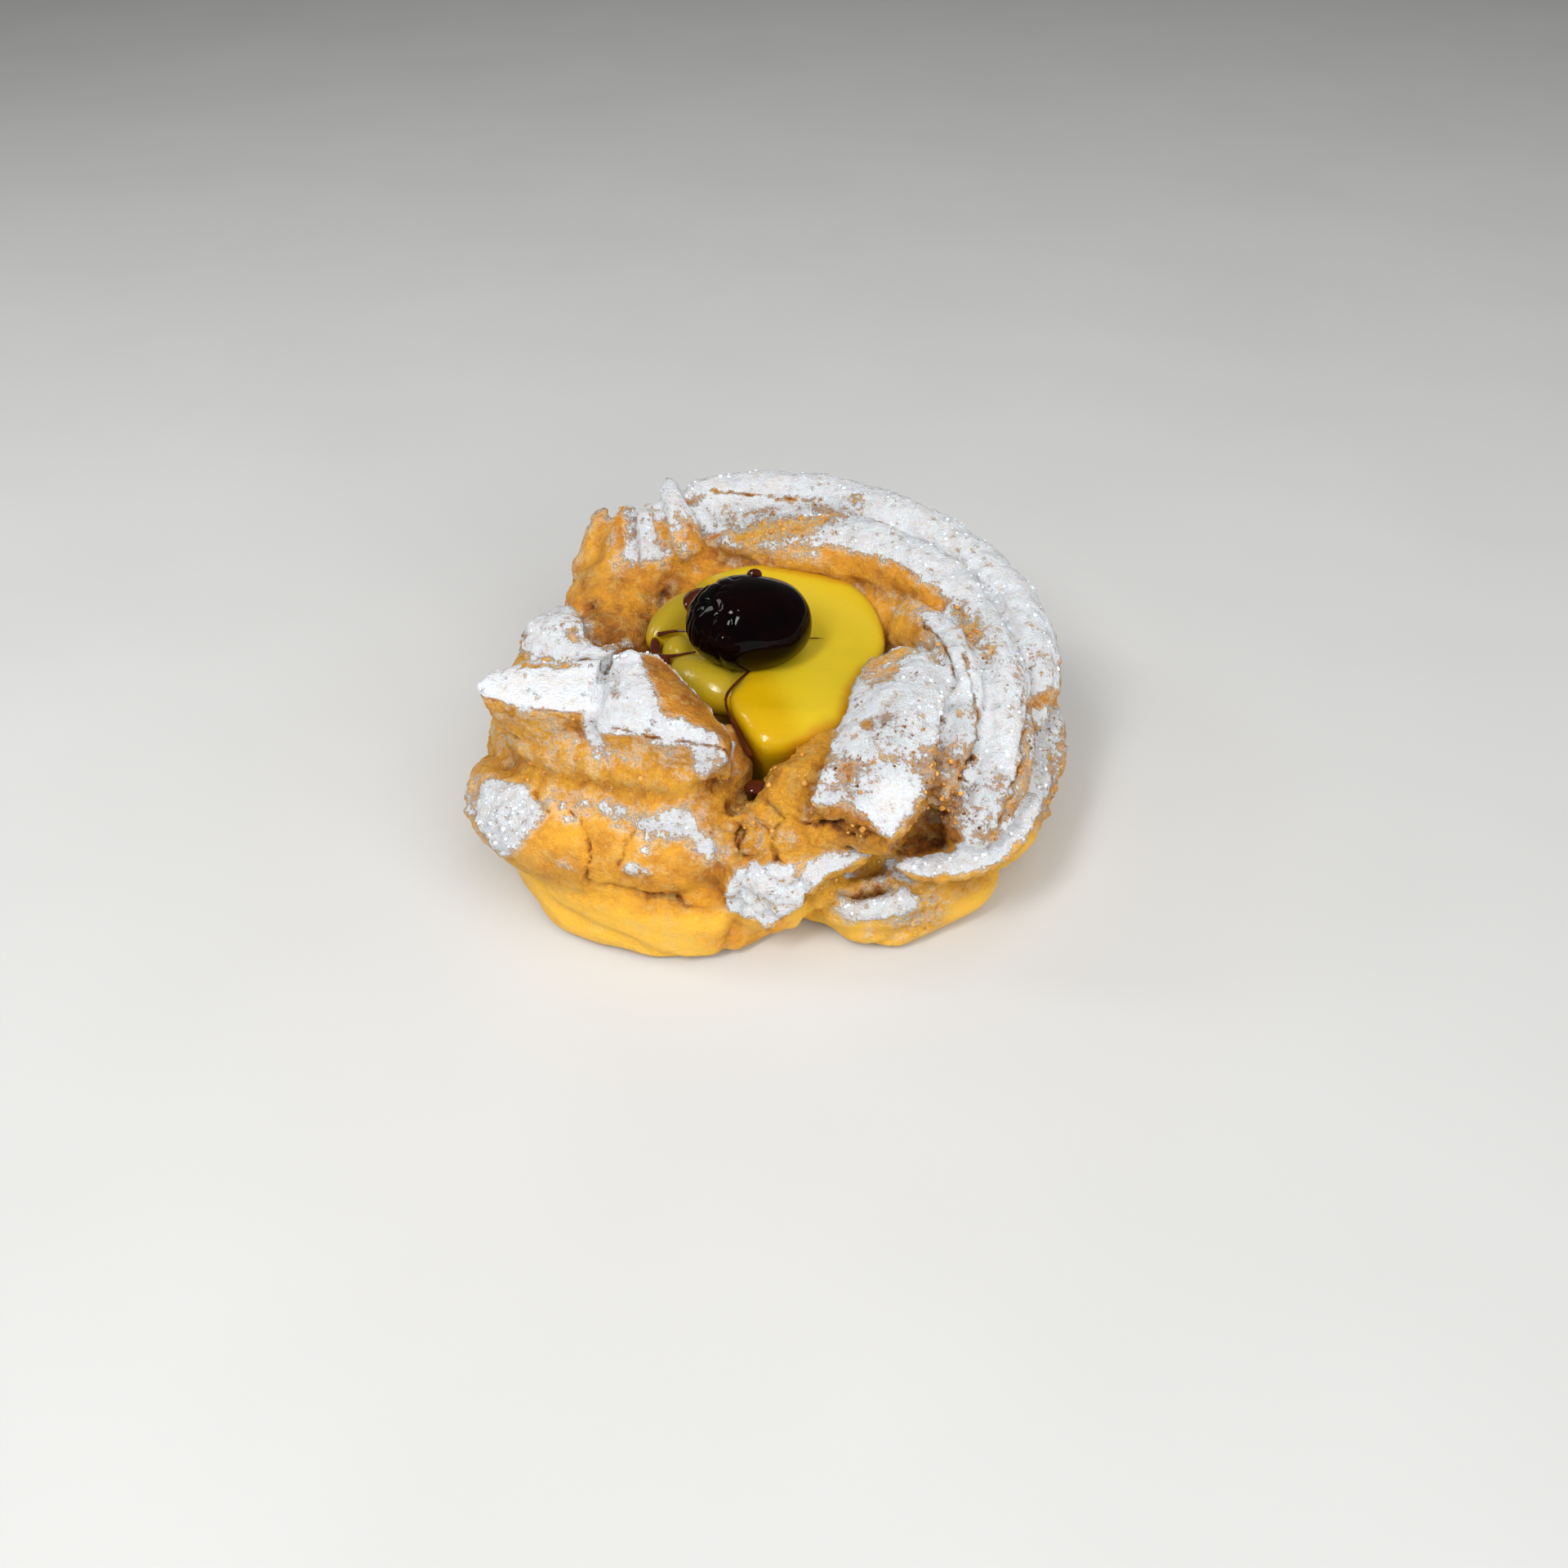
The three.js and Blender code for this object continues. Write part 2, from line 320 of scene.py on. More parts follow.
# corners of the foot: (turn in degrees, out from the turns' axis in mm)
footOutline = [
    (-86, 38.5), (-96, 43), (-106, 46.3), (-119, 48.8), (-132, 50.5), (-146, 49.5), (175, 46), (150, 45),
    (120, 44), (90, 44), (60, 44), (30, 45), (0, 46.5), (-25, 46.5), (-42, 46.5), (-54, 47), (-64, 47),
    (-71, 43.5), (-78, 38),
]

# a row is (turn in degrees, out from the turns' axis, crest height, half width), in mm
strands = [
    dict(name="lowerTurn", sugar=0.05, bake=0.35, rough=0.35, rows=[
        (-96, 30, 23, 10), (-112, 31, 26, 13), (-133, 35, 27, 14.5), (-150, 38.5, 27, 14.5), (-166, 36, 26.5, 13.5),
        (176, 35, 27, 13.5), (145, 34, 27, 14), (110, 34, 27, 14), (70, 34, 27, 14), (30, 35, 27, 14),
        (-5, 37, 26, 14), (-30, 38, 25, 14), (-46, 36, 21, 12.5), (-60, 32, 20, 11), (-76, 29, 19, 8)]),
    dict(name="rightBody", sugar=0.0, bake=0.55, rough=0.15, rows=[
        (140, 33, 34, 12), (115, 32, 36, 12), (80, 31, 38, 12.5), (40, 31, 38, 13), (5, 32, 37, 13),
        (-25, 32, 35, 13), (-46, 31, 32, 11.5), (-62, 30, 28, 8)]),
    dict(name="leftBody", sugar=0.0, bake=0.7, rough=0.2, rows=[
        (-174, 32, 33, 10), (-155, 32.5, 36, 12.5), (-133, 31, 36.5, 13), (-114, 31, 35, 11), (-98, 31, 32, 6.5)]),
    dict(name="outerFlute", sugar=1.0, bake=0.5, ridge=0.12, rows=[
        (124, 39, 39.8, 5), (112, 37.8, 41.6, 7), (88, 37, 42.2, 8), (62, 37.4, 41.3, 8), (36, 39.2, 39.8, 7.5),
        (12, 41.6, 38, 7), (-8, 43.8, 35, 6.5), (-22, 45.5, 30, 5)]),
    dict(name="middleFlute", sugar=1.0, bake=0.5, ridge=0.12, rows=[
        (112, 26, 39, 4), (84, 24, 41, 6), (54, 26, 42, 6.5), (30, 28.5, 42, 6.5), (6, 32.5, 41, 6),
        (-14, 37.5, 38.5, 6), (-30, 42, 35.5, 6.5), (-41, 45.5, 32, 6.5), (-49, 47.7, 29, 6), (-54, 48.8, 26, 4.5)]),
    dict(name="shortFlute", sugar=1.0, bake=0.5, ridge=0.12, rows=[
        (18, 23, 36, 4.5), (4, 25, 38.5, 5.5), (-11, 29.5, 39.5, 5.5), (-25, 33.7, 39.5, 5.2),
        (-38, 38, 37.5, 5), (-48, 41, 34, 4.8), (-55, 43.5, 30, 4)]),
    dict(name="innerSide", sugar=0.0, bake=0.35, rough=0.8, rows=[
        (-50, 24, 33, 4), (-66, 28, 33, 6.5), (-75, 31, 31.5, 7), (-82, 33.5, 29, 6), (-88, 35.5, 26, 4.5)]),
    dict(name="flank", sugar=0.35, bake=0.45, rows=[
        (140, 39.5, 29, 6), (110, 40, 31, 7.5), (75, 40.5, 31, 7.5), (35, 41.5, 30, 7.5), (5, 44, 27, 7),
        (-14, 45.5, 24, 5)]),
    dict(name="lowFlute", sugar=0.8, bake=0.45, rows=[
        (60, 43, 19, 6), (25, 43.5, 20, 6.5), (-6, 45, 24, 6.5), (-20, 46, 23.5, 6.5), (-33, 46.5, 22, 5.5),
        (-42, 47, 20, 4.5)]),
    dict(name="frontRidge", sugar=1.0, bake=0.4, squash=0.75, rows=[
        (-32, 49.5, 24.5, 3), (-42.5, 51.2, 22, 3.2), (-50, 50.4, 20.6, 3.2), (-58, 47.2, 20, 2.7),
        (-65, 44.4, 20, 1.8)]),
    dict(name="frontLobe", sugar=0.1, bake=0.3, rows=[
        (-30, 40, 17, 10), (-42, 39.5, 17, 10.5), (-54, 37.5, 15, 10), (-64, 34, 12, 8)]),
    dict(name="frontToe", sugar=0.9, bake=0.3, rows=[
        (-56, 43, 14, 4.5), (-64, 42, 13.5, 4.8), (-71, 39.5, 12, 4.5), (-78, 37, 9.5, 3)]),
    dict(name="roughSide", sugar=0.15, bake=0.35, rough=0.85, rows=[
        (-164, 38, 30, 6), (-152, 39.5, 31, 7.5), (-134, 37, 31.5, 8), (-114, 33, 31, 7.5), (-98, 31.5, 29, 5)]),
    dict(name="leftShoulder", sugar=0.1, bake=0.4, rows=[
        (-170, 40.5, 21, 7), (-160, 44, 23, 8.5), (-150, 45.7, 24, 9), (-138, 43.5, 25.5, 9.5), (-121, 38, 26, 9.5),
        (-107, 34, 25, 9), (-96, 32, 22, 7)]),
    dict(name="saddle", sugar=0.0, bake=0.8, rough=0.05, rows=[
        (-172, 30, 31, 7), (176, 30.5, 31, 8.5), (160, 29.5, 30.5, 8.5), (142, 30.5, 31, 8)]),
    dict(name="backEnd", sugar=0.1, bake=0.3, rows=[
        (156, 32, 26, 10), (142, 34.5, 31.5, 12.5), (128, 34, 37, 12)]),
    dict(name="rib1", sugar=0.6, bake=0.45, rows=[
        (130.5, 47, 37.8, 1.6), (133.5, 45, 36.5, 3), (138, 43.8, 30, 4.4), (141, 43, 21, 4.4)]),
    dict(name="rib2", sugar=0.9, bake=0.45, rows=[
        (125, 43.5, 38.5, 1.6), (130, 41, 37.5, 3.4), (137, 36.5, 34, 4), (143, 33, 26, 4)]),
    dict(name="rib3", sugar=0.6, bake=0.45, rows=[
        (120, 41, 40, 2), (125, 37, 39, 3.4), (130, 32, 35.5, 4), (136, 28, 28, 4)]),
    dict(name="rib4", sugar=0.9, bake=0.45, rows=[
        (116, 43, 42, 1), (117, 39, 41.3, 3.4), (119, 32, 39, 4.6), (121, 25.5, 35, 4)]),
    dict(name="seamRidge", sugar=1.0, bake=0.4, rows=[
        (-86, 43.5, 15, 2), (-82, 42.3, 17.5, 2.2), (-77, 40.9, 20, 2.4), (-71, 41.2, 21.3, 2.2),
        (-66, 41.6, 20.8, 1.6)]),
    dict(name="seamShelf", sugar=0.0, bake=0.35, rows=[
        (-90, 38, 14, 5), (-80, 37.5, 16.5, 5), (-71, 38.5, 18, 4.5)]),
]

# crisp chunks of the squeezed end, by their corners (x, y, z) in mm from the turns' axis
chunks = [
    dict(name="leftArm", sugar=1.0, bake=0.4, corners=[
        (-44.6, -19.2, 38.2), (-42.3, -16.6, 38.4), (-37.6, -15.2, 38.8), (-29.8, -16, 39.5), (-25, -15.5, 40),
        (-25.5, -26, 38.6), (-27.1, -27.8, 38), (-36.4, -25.3, 37), (-41.8, -22.8, 36.4), (-44.5, -20.9, 36.6),
        (-42.2, -21.6, 29.5), (-35.5, -24.5, 28), (-27, -27, 28), (-25, -16, 28), (-38, -14, 30), (-43, -17.5, 31)]),
    dict(name="innerRidge", sugar=1.0, bake=0.6, corners=[
        (-20.4, -16.2, 43), (-23, -16.5, 42), (-17.1, -23.2, 41.6), (-14.3, -29.4, 40), (-9.5, -31.6, 38.4),
        (-4.7, -33.4, 36.8), (-23.4, -30.2, 37.6), (-26, -27, 37.4), (-16.1, -32.6, 37.4), (-10.1, -33.6, 36.8),
        (-16, -14.5, 39.5), (-13.3, -16.1, 36.8), (-8.2, -23, 36), (-4.3, -29.4, 35), (-11, -20, 31), (-5, -28, 29),
        (-4.5, -33.5, 29), (-9, -35, 30), (-17, -34, 29), (-25, -31, 28), (-26, -16, 30)]),
    dict(name="backDome", sugar=1.0, bake=0.5, corners=[
        (-38.3, -1.6, 37.6), (-35, -0.6, 39), (-31.6, -1.2, 39.6), (-29, -6.8, 40.3), (-27.8, -11.6, 39.6),
        (-25.7, -13.8, 39), (-33, -8, 41), (-37.5, -6.5, 39.6), (-39.6, -4, 36.5), (-39.8, -8.5, 36.5),
        (-39, -12.5, 35), (-32, -15, 38.5), (-38.5, -3, 27), (-39, -12, 27), (-28, -1, 28), (-24, -12, 28)]),
    dict(name="innerFlute", sugar=0.85, bake=0.5, corners=[
        (16.5, -8.5, 35.3), (21, -9, 37.3), (27, -11, 37.8), (28.6, -18.1, 38), (27.6, -25, 38), (26.4, -31.1, 37),
        (25.7, -34.7, 35.3), (22.9, -41, 31.5), (20.3, -43, 28), (17.7, -43.4, 26.5), (14.4, -42, 29.8),
        (12, -40.5, 31.4), (6.6, -38.8, 30.6), (8, -35.2, 33), (10.5, -28.5, 35.4), (13.3, -19.6, 36),
        (20.5, -20, 39.2), (22, -28, 39), (18.4, -33.5, 38), (16.5, -38.4, 35), (14, -12, 28), (9, -28, 26),
        (7, -38, 24), (14, -41.5, 22), (18.5, -41.5, 21), (24.5, -36, 26), (28, -20, 30), (28, -10, 30)]),
]

# turn, out, crest, (radial, along, half height) of the crumbly lumps where the turns meet
seamLumps = [
    (-154, 27.5, 39.5, (3, 3, 5)), (-82, 31.5, 31.8, (3.6, 5.5, 8)), (-78, 33.5, 31.2, (3.4, 4, 7)),
    (-86, 34, 30, (3.2, 4.2, 7)),
    (-83, 36.5, 28, (3.4, 4.6, 7)), (-76, 38.5, 27.5, (3.4, 5.5, 6)), (-93, 36.5, 25, (3.2, 3.6, 6)),
    (-88, 37.5, 25.5, (3, 3.4, 6)), (-99, 37, 26, (2.6, 3, 5)), (-95, 40, 22.5, (2.4, 2.8, 4)),
    (-90, 39, 23, (2.6, 4, 5)), (-84, 40, 22.5, (2.8, 3.6, 5)), (-92, 34, 25.5, (6, 6, 9)), (-86, 36, 21, (5, 6, 8)),
    (-78, 35, 20, (6, 6, 7)), (-90, 38.5, 18.5, (5, 7, 7.5)), (-95, 40.5, 20, (3.2, 3.6, 4)),
    (-91, 41.5, 18.6, (2.8, 3.4, 4.5)), (-87, 42.3, 17, (2.6, 3, 4.5)), (-93, 42, 14.5, (2.6, 3.4, 4)),
    (-88, 42.2, 13.5, (2.2, 3, 4)), (-84.5, 41.4, 13.4, (2, 2.6, 4)),
    (-84, 37.6, 24.6, (4.2, 4.4, 4)), (-77, 37.0, 22.6, (3.2, 3.4, 3)), (-90.5, 39.6, 22.8, (2.6, 2.6, 3)),
    (-96.5, 39.4, 23.0, (2.8, 3, 3)), (-87, 40.2, 20.6, (2.8, 3.4, 3)), (-93, 36.0, 28.0, (2.4, 2.6, 3)),
    (-104, 23.6, 32.3, (4.2, 3.0, 6)), (-99, 26.8, 31.2, (4.0, 2.6, 6)), (-77, 28.6, 31.8, (2.8, 4.5, 6)),
    (-85.5, 29.4, 30.4, (2.6, 3, 5)),
]

# hollows: (x, y, z, (radius x, y, z), turn), in mm from the turns' axis
hollows = [
    (16.2, -39.5, 14, (4.3, 6.2, 2.5), 14),
    (25.5, -34.8, 20, (7.6, 4.4, 4.8), 14),
    (22, -38.6, 21.5, (4.2, 2.6, 2.4), 14),
    (-1.2, -31.4, 28.5, (1.7, 2.2, 5), 20),
]


def placed(turn, out, up):
    # spots in mm from arrays of turn, distance out and height
    angle = np.radians(turn)
    return np.stack([out * np.cos(angle), out * np.sin(angle) + dough["axisBack"], up], axis=-1)


def smoothRows(rows, count, closed=False):
    # even values along a smooth line through every row
    rows = np.array(rows, float)
    rows[:, 0] = np.degrees(np.unwrap(np.radians(rows[:, 0])))
    if closed:
        whole = 360 * np.sign(rows[-1, 0] - rows[0, 0])
        shift = np.zeros(rows.shape[1])
        shift[0] = whole
        rows = np.vstack([rows[-2:] - shift, rows, rows[:2] + shift])
    height = rows[:, 2] if rows.shape[1] > 2 else 0 * rows[:, 0]
    spots = placed(rows[:, 0], rows[:, 1], height)
    knots = np.append(0, np.cumsum(np.linalg.norm(np.diff(spots, axis=0), axis=1) ** 0.5))
    slopes = np.gradient(rows, knots, axis=0)
    at = np.linspace(knots[2], knots[-2], count) if closed else np.linspace(0, knots[-1], count)
    i = np.clip(np.searchsorted(knots, at) - 1, 0, len(knots) - 2)
    span = (knots[i + 1] - knots[i])[:, None]
    t = (at[:, None] - knots[i][:, None]) / span
    return (rows[i] * (2 * t**3 - 3 * t**2 + 1) + span * slopes[i] * (t**3 - 2 * t**2 + t)
            + rows[i + 1] * (3 * t**2 - 2 * t**3) + span * slopes[i + 1] * (t**3 - t**2))


def nozzle(sides, ridge, squash):
    # the outline that a strand is squeezed through, 1 mm in half width, its ridge upwards
    bpy.ops.curve.primitive_nurbs_circle_add()
    outline = bpy.context.object
    outline.data.splines.clear()
    ring = outline.data.splines.new('POLY')
    ring.points.add(sides - 1)
    ring.use_cyclic_u = True
    for side, point in enumerate(ring.points):
        angle = 2 * math.pi * side / sides
        swell = 1 + ridge * max(0, math.cos(angle)) ** 4
        point.co = (math.sin(angle) * swell * mm, math.cos(angle) * swell * squash * mm, 0, 1)
    return outline


def squeeze(strand):
    # a strand of dough along its rows, round at both ends
    ridge, squash = strand.get("ridge", 0), strand.get("squash", 1)
    rough = np.array(strand["rows"], float)
    spots = placed(rough[:, 0], rough[:, 1], rough[:, 2])
    length = np.linalg.norm(np.diff(spots, axis=0), axis=1).sum()
    count = max(12, int(length / dough["ringStep"]))
    fine = smoothRows(strand["rows"], count)
    swell = np.sqrt(1 - np.abs(np.linspace(-1, 1, count)) ** dough["bluntness"])
    swell = np.maximum(swell, dough["thinnest"])
    centres = placed(fine[:, 0], fine[:, 1], fine[:, 2] - fine[:, 3] * squash * (1 + ridge))
    bpy.ops.curve.primitive_nurbs_path_add()
    tube = bpy.context.object
    tube.name = strand["name"]
    tube.data.splines.clear()
    line = tube.data.splines.new('POLY')
    line.points.add(count - 1)
    for point, centre, half, share in zip(line.points, centres, fine[:, 3], swell):
        point.co = (*(centre * mm), 1)
        point.radius = half * share
    outline = nozzle(dough["ringSides"], ridge, squash)
    tube.data.dimensions = '3D'
    tube.data.twist_mode = 'Z_UP'
    tube.data.bevel_mode = 'OBJECT'
    tube.data.bevel_object = outline
    tube.data.use_fill_caps = True
    pick(tube)
    bpy.ops.object.convert(target='MESH')
    bpy.data.objects.remove(outline)
    tube = bpy.context.object
    strand["rings"] = spotsOf(tube).reshape(-1, dough["ringSides"], 3)
    return tube


def makeFoot():
    # the flat-baked foot, to its uneven outline, with rounded rims
    bpy.ops.mesh.primitive_cylinder_add(vertices=160, radius=1, depth=dough["footHeight"] * mm,
                                        location=(0, 0, dough["footHeight"] * mm / 2))
    foot = bpy.context.object
    foot.name = "foot"
    bpy.ops.object.transform_apply(location=True)
    outline = smoothRows(footOutline, 400, closed=True)
    order = np.argsort(outline[:, 0] % 360)
    spots = spotsOf(foot)
    turns = np.degrees(np.arctan2(spots[:, 1], spots[:, 0])) % 360
    reach = np.interp(turns, (outline[:, 0] % 360)[order], outline[order, 1], period=360)
    moveSpots(foot, placed(turns, reach, spots[:, 2]))
    applyModifier(foot, 'BEVEL', width=dough["footRound"] * mm, segments=4, limit_method='ANGLE')
    return foot


def makeChunk(chunk):
    # the hull of its corners, with its edges just broken
    bpy.ops.mesh.primitive_cube_add()
    piece = bpy.context.object
    piece.name = chunk["name"]
    corners = np.array(chunk["corners"]) + (0, dough["axisBack"], 0)
    piece.data.clear_geometry()
    piece.data.from_pydata((corners * mm).tolist(), [], [])
    editWhole()
    bpy.ops.mesh.convex_hull()
    bpy.ops.object.mode_set(mode='OBJECT')
    remesh(piece, dough["coarseVoxel"])
    chunk["spots"] = spotsOf(piece)
    return piece


def ellipsoid(spot, half, turn):
    bpy.ops.mesh.primitive_uv_sphere_add(segments=28, ring_count=18, radius=mm, location=Vector(spot) * mm,
                                         scale=half, rotation=(0, 0, math.radians(turn)))
    return bpy.context.object


parts = [makeFoot()]
parts += [squeeze(strand) for strand in strands]
parts += [makeChunk(chunk) for chunk in chunks]
parts += [ellipsoid(placed(turn, out, crest - half[2]), half, turn) for turn, out, crest, half in seamLumps]
crust = joinAll(parts, "crust")
remesh(crust, dough["voxel"])
scoops = [ellipsoid((x, y + dough["axisBack"], z), half, turn) for x, y, z, half, turn in hollows]
scoop = joinAll(scoops, "scoop")
remesh(scoop, dough["voxel"])
applyModifier(crust, 'BOOLEAN', operation='DIFFERENCE', solver='FAST', object=scoop)
bpy.data.objects.remove(scoop)
remesh(crust, dough["voxel"])
print("strands joined:", len(crust.data.vertices), "vertices")


surface = {
    "frameSize": 1920,
    "creaseRounds": 3,        # how far the creases between strands are filled
    "crestShare": 0.6,        # and how much of that the crests lose
    "inset": 0.4,             # what the relief adds to the outline, taken off again, in mm
    "swell": (6.0, 0.6),      # lumps of baked dough: size and height, in mm
    "blister": (2.8, 1.2),     # crumbly lumps with sharp creases between them
    "crackle": (1.1, 0.5),
    "streak": (1.1, 14, 0.2),  # fine ridges along a flute: width, length, height
    "sugarDepth": 0.3,
    "sugarClot": (1.8, 0.45),
    "clump": (2.4, 1.3),      # lumps of caked sugar
    "groove": (10, 1.1),      # how wide and deep the grooves between strands are cut again
    "slide": 0.2,             # how much less sugar lies on steep faces
    "fade": 2.8,              # how much softer an area's edge is than its own number
    "mmPerPixel": 0.15,
    "wobble": (1.6, 3.5),      # how ragged the areas' edges are: size in mm, reach in pixels
    "calmRounds": 6,
    "cavityShadeRounds": 30,
    "footBand": (9, 13),      # no sugar lies below these heights
    "turnShift": 3.7,         # sets the streaks of one strand apart from the next one's
    "grooveGain": 1.8,
    "crackGap": (2.5, -0.35, 0.1),      # a crack's line of painted shade breaks off and goes on in this noise
    "sightMargin": 0.8,
    "unseen": (0.3, 24, 30.5, -27),      # simplified first: the underside, and the hollow under the custard
}
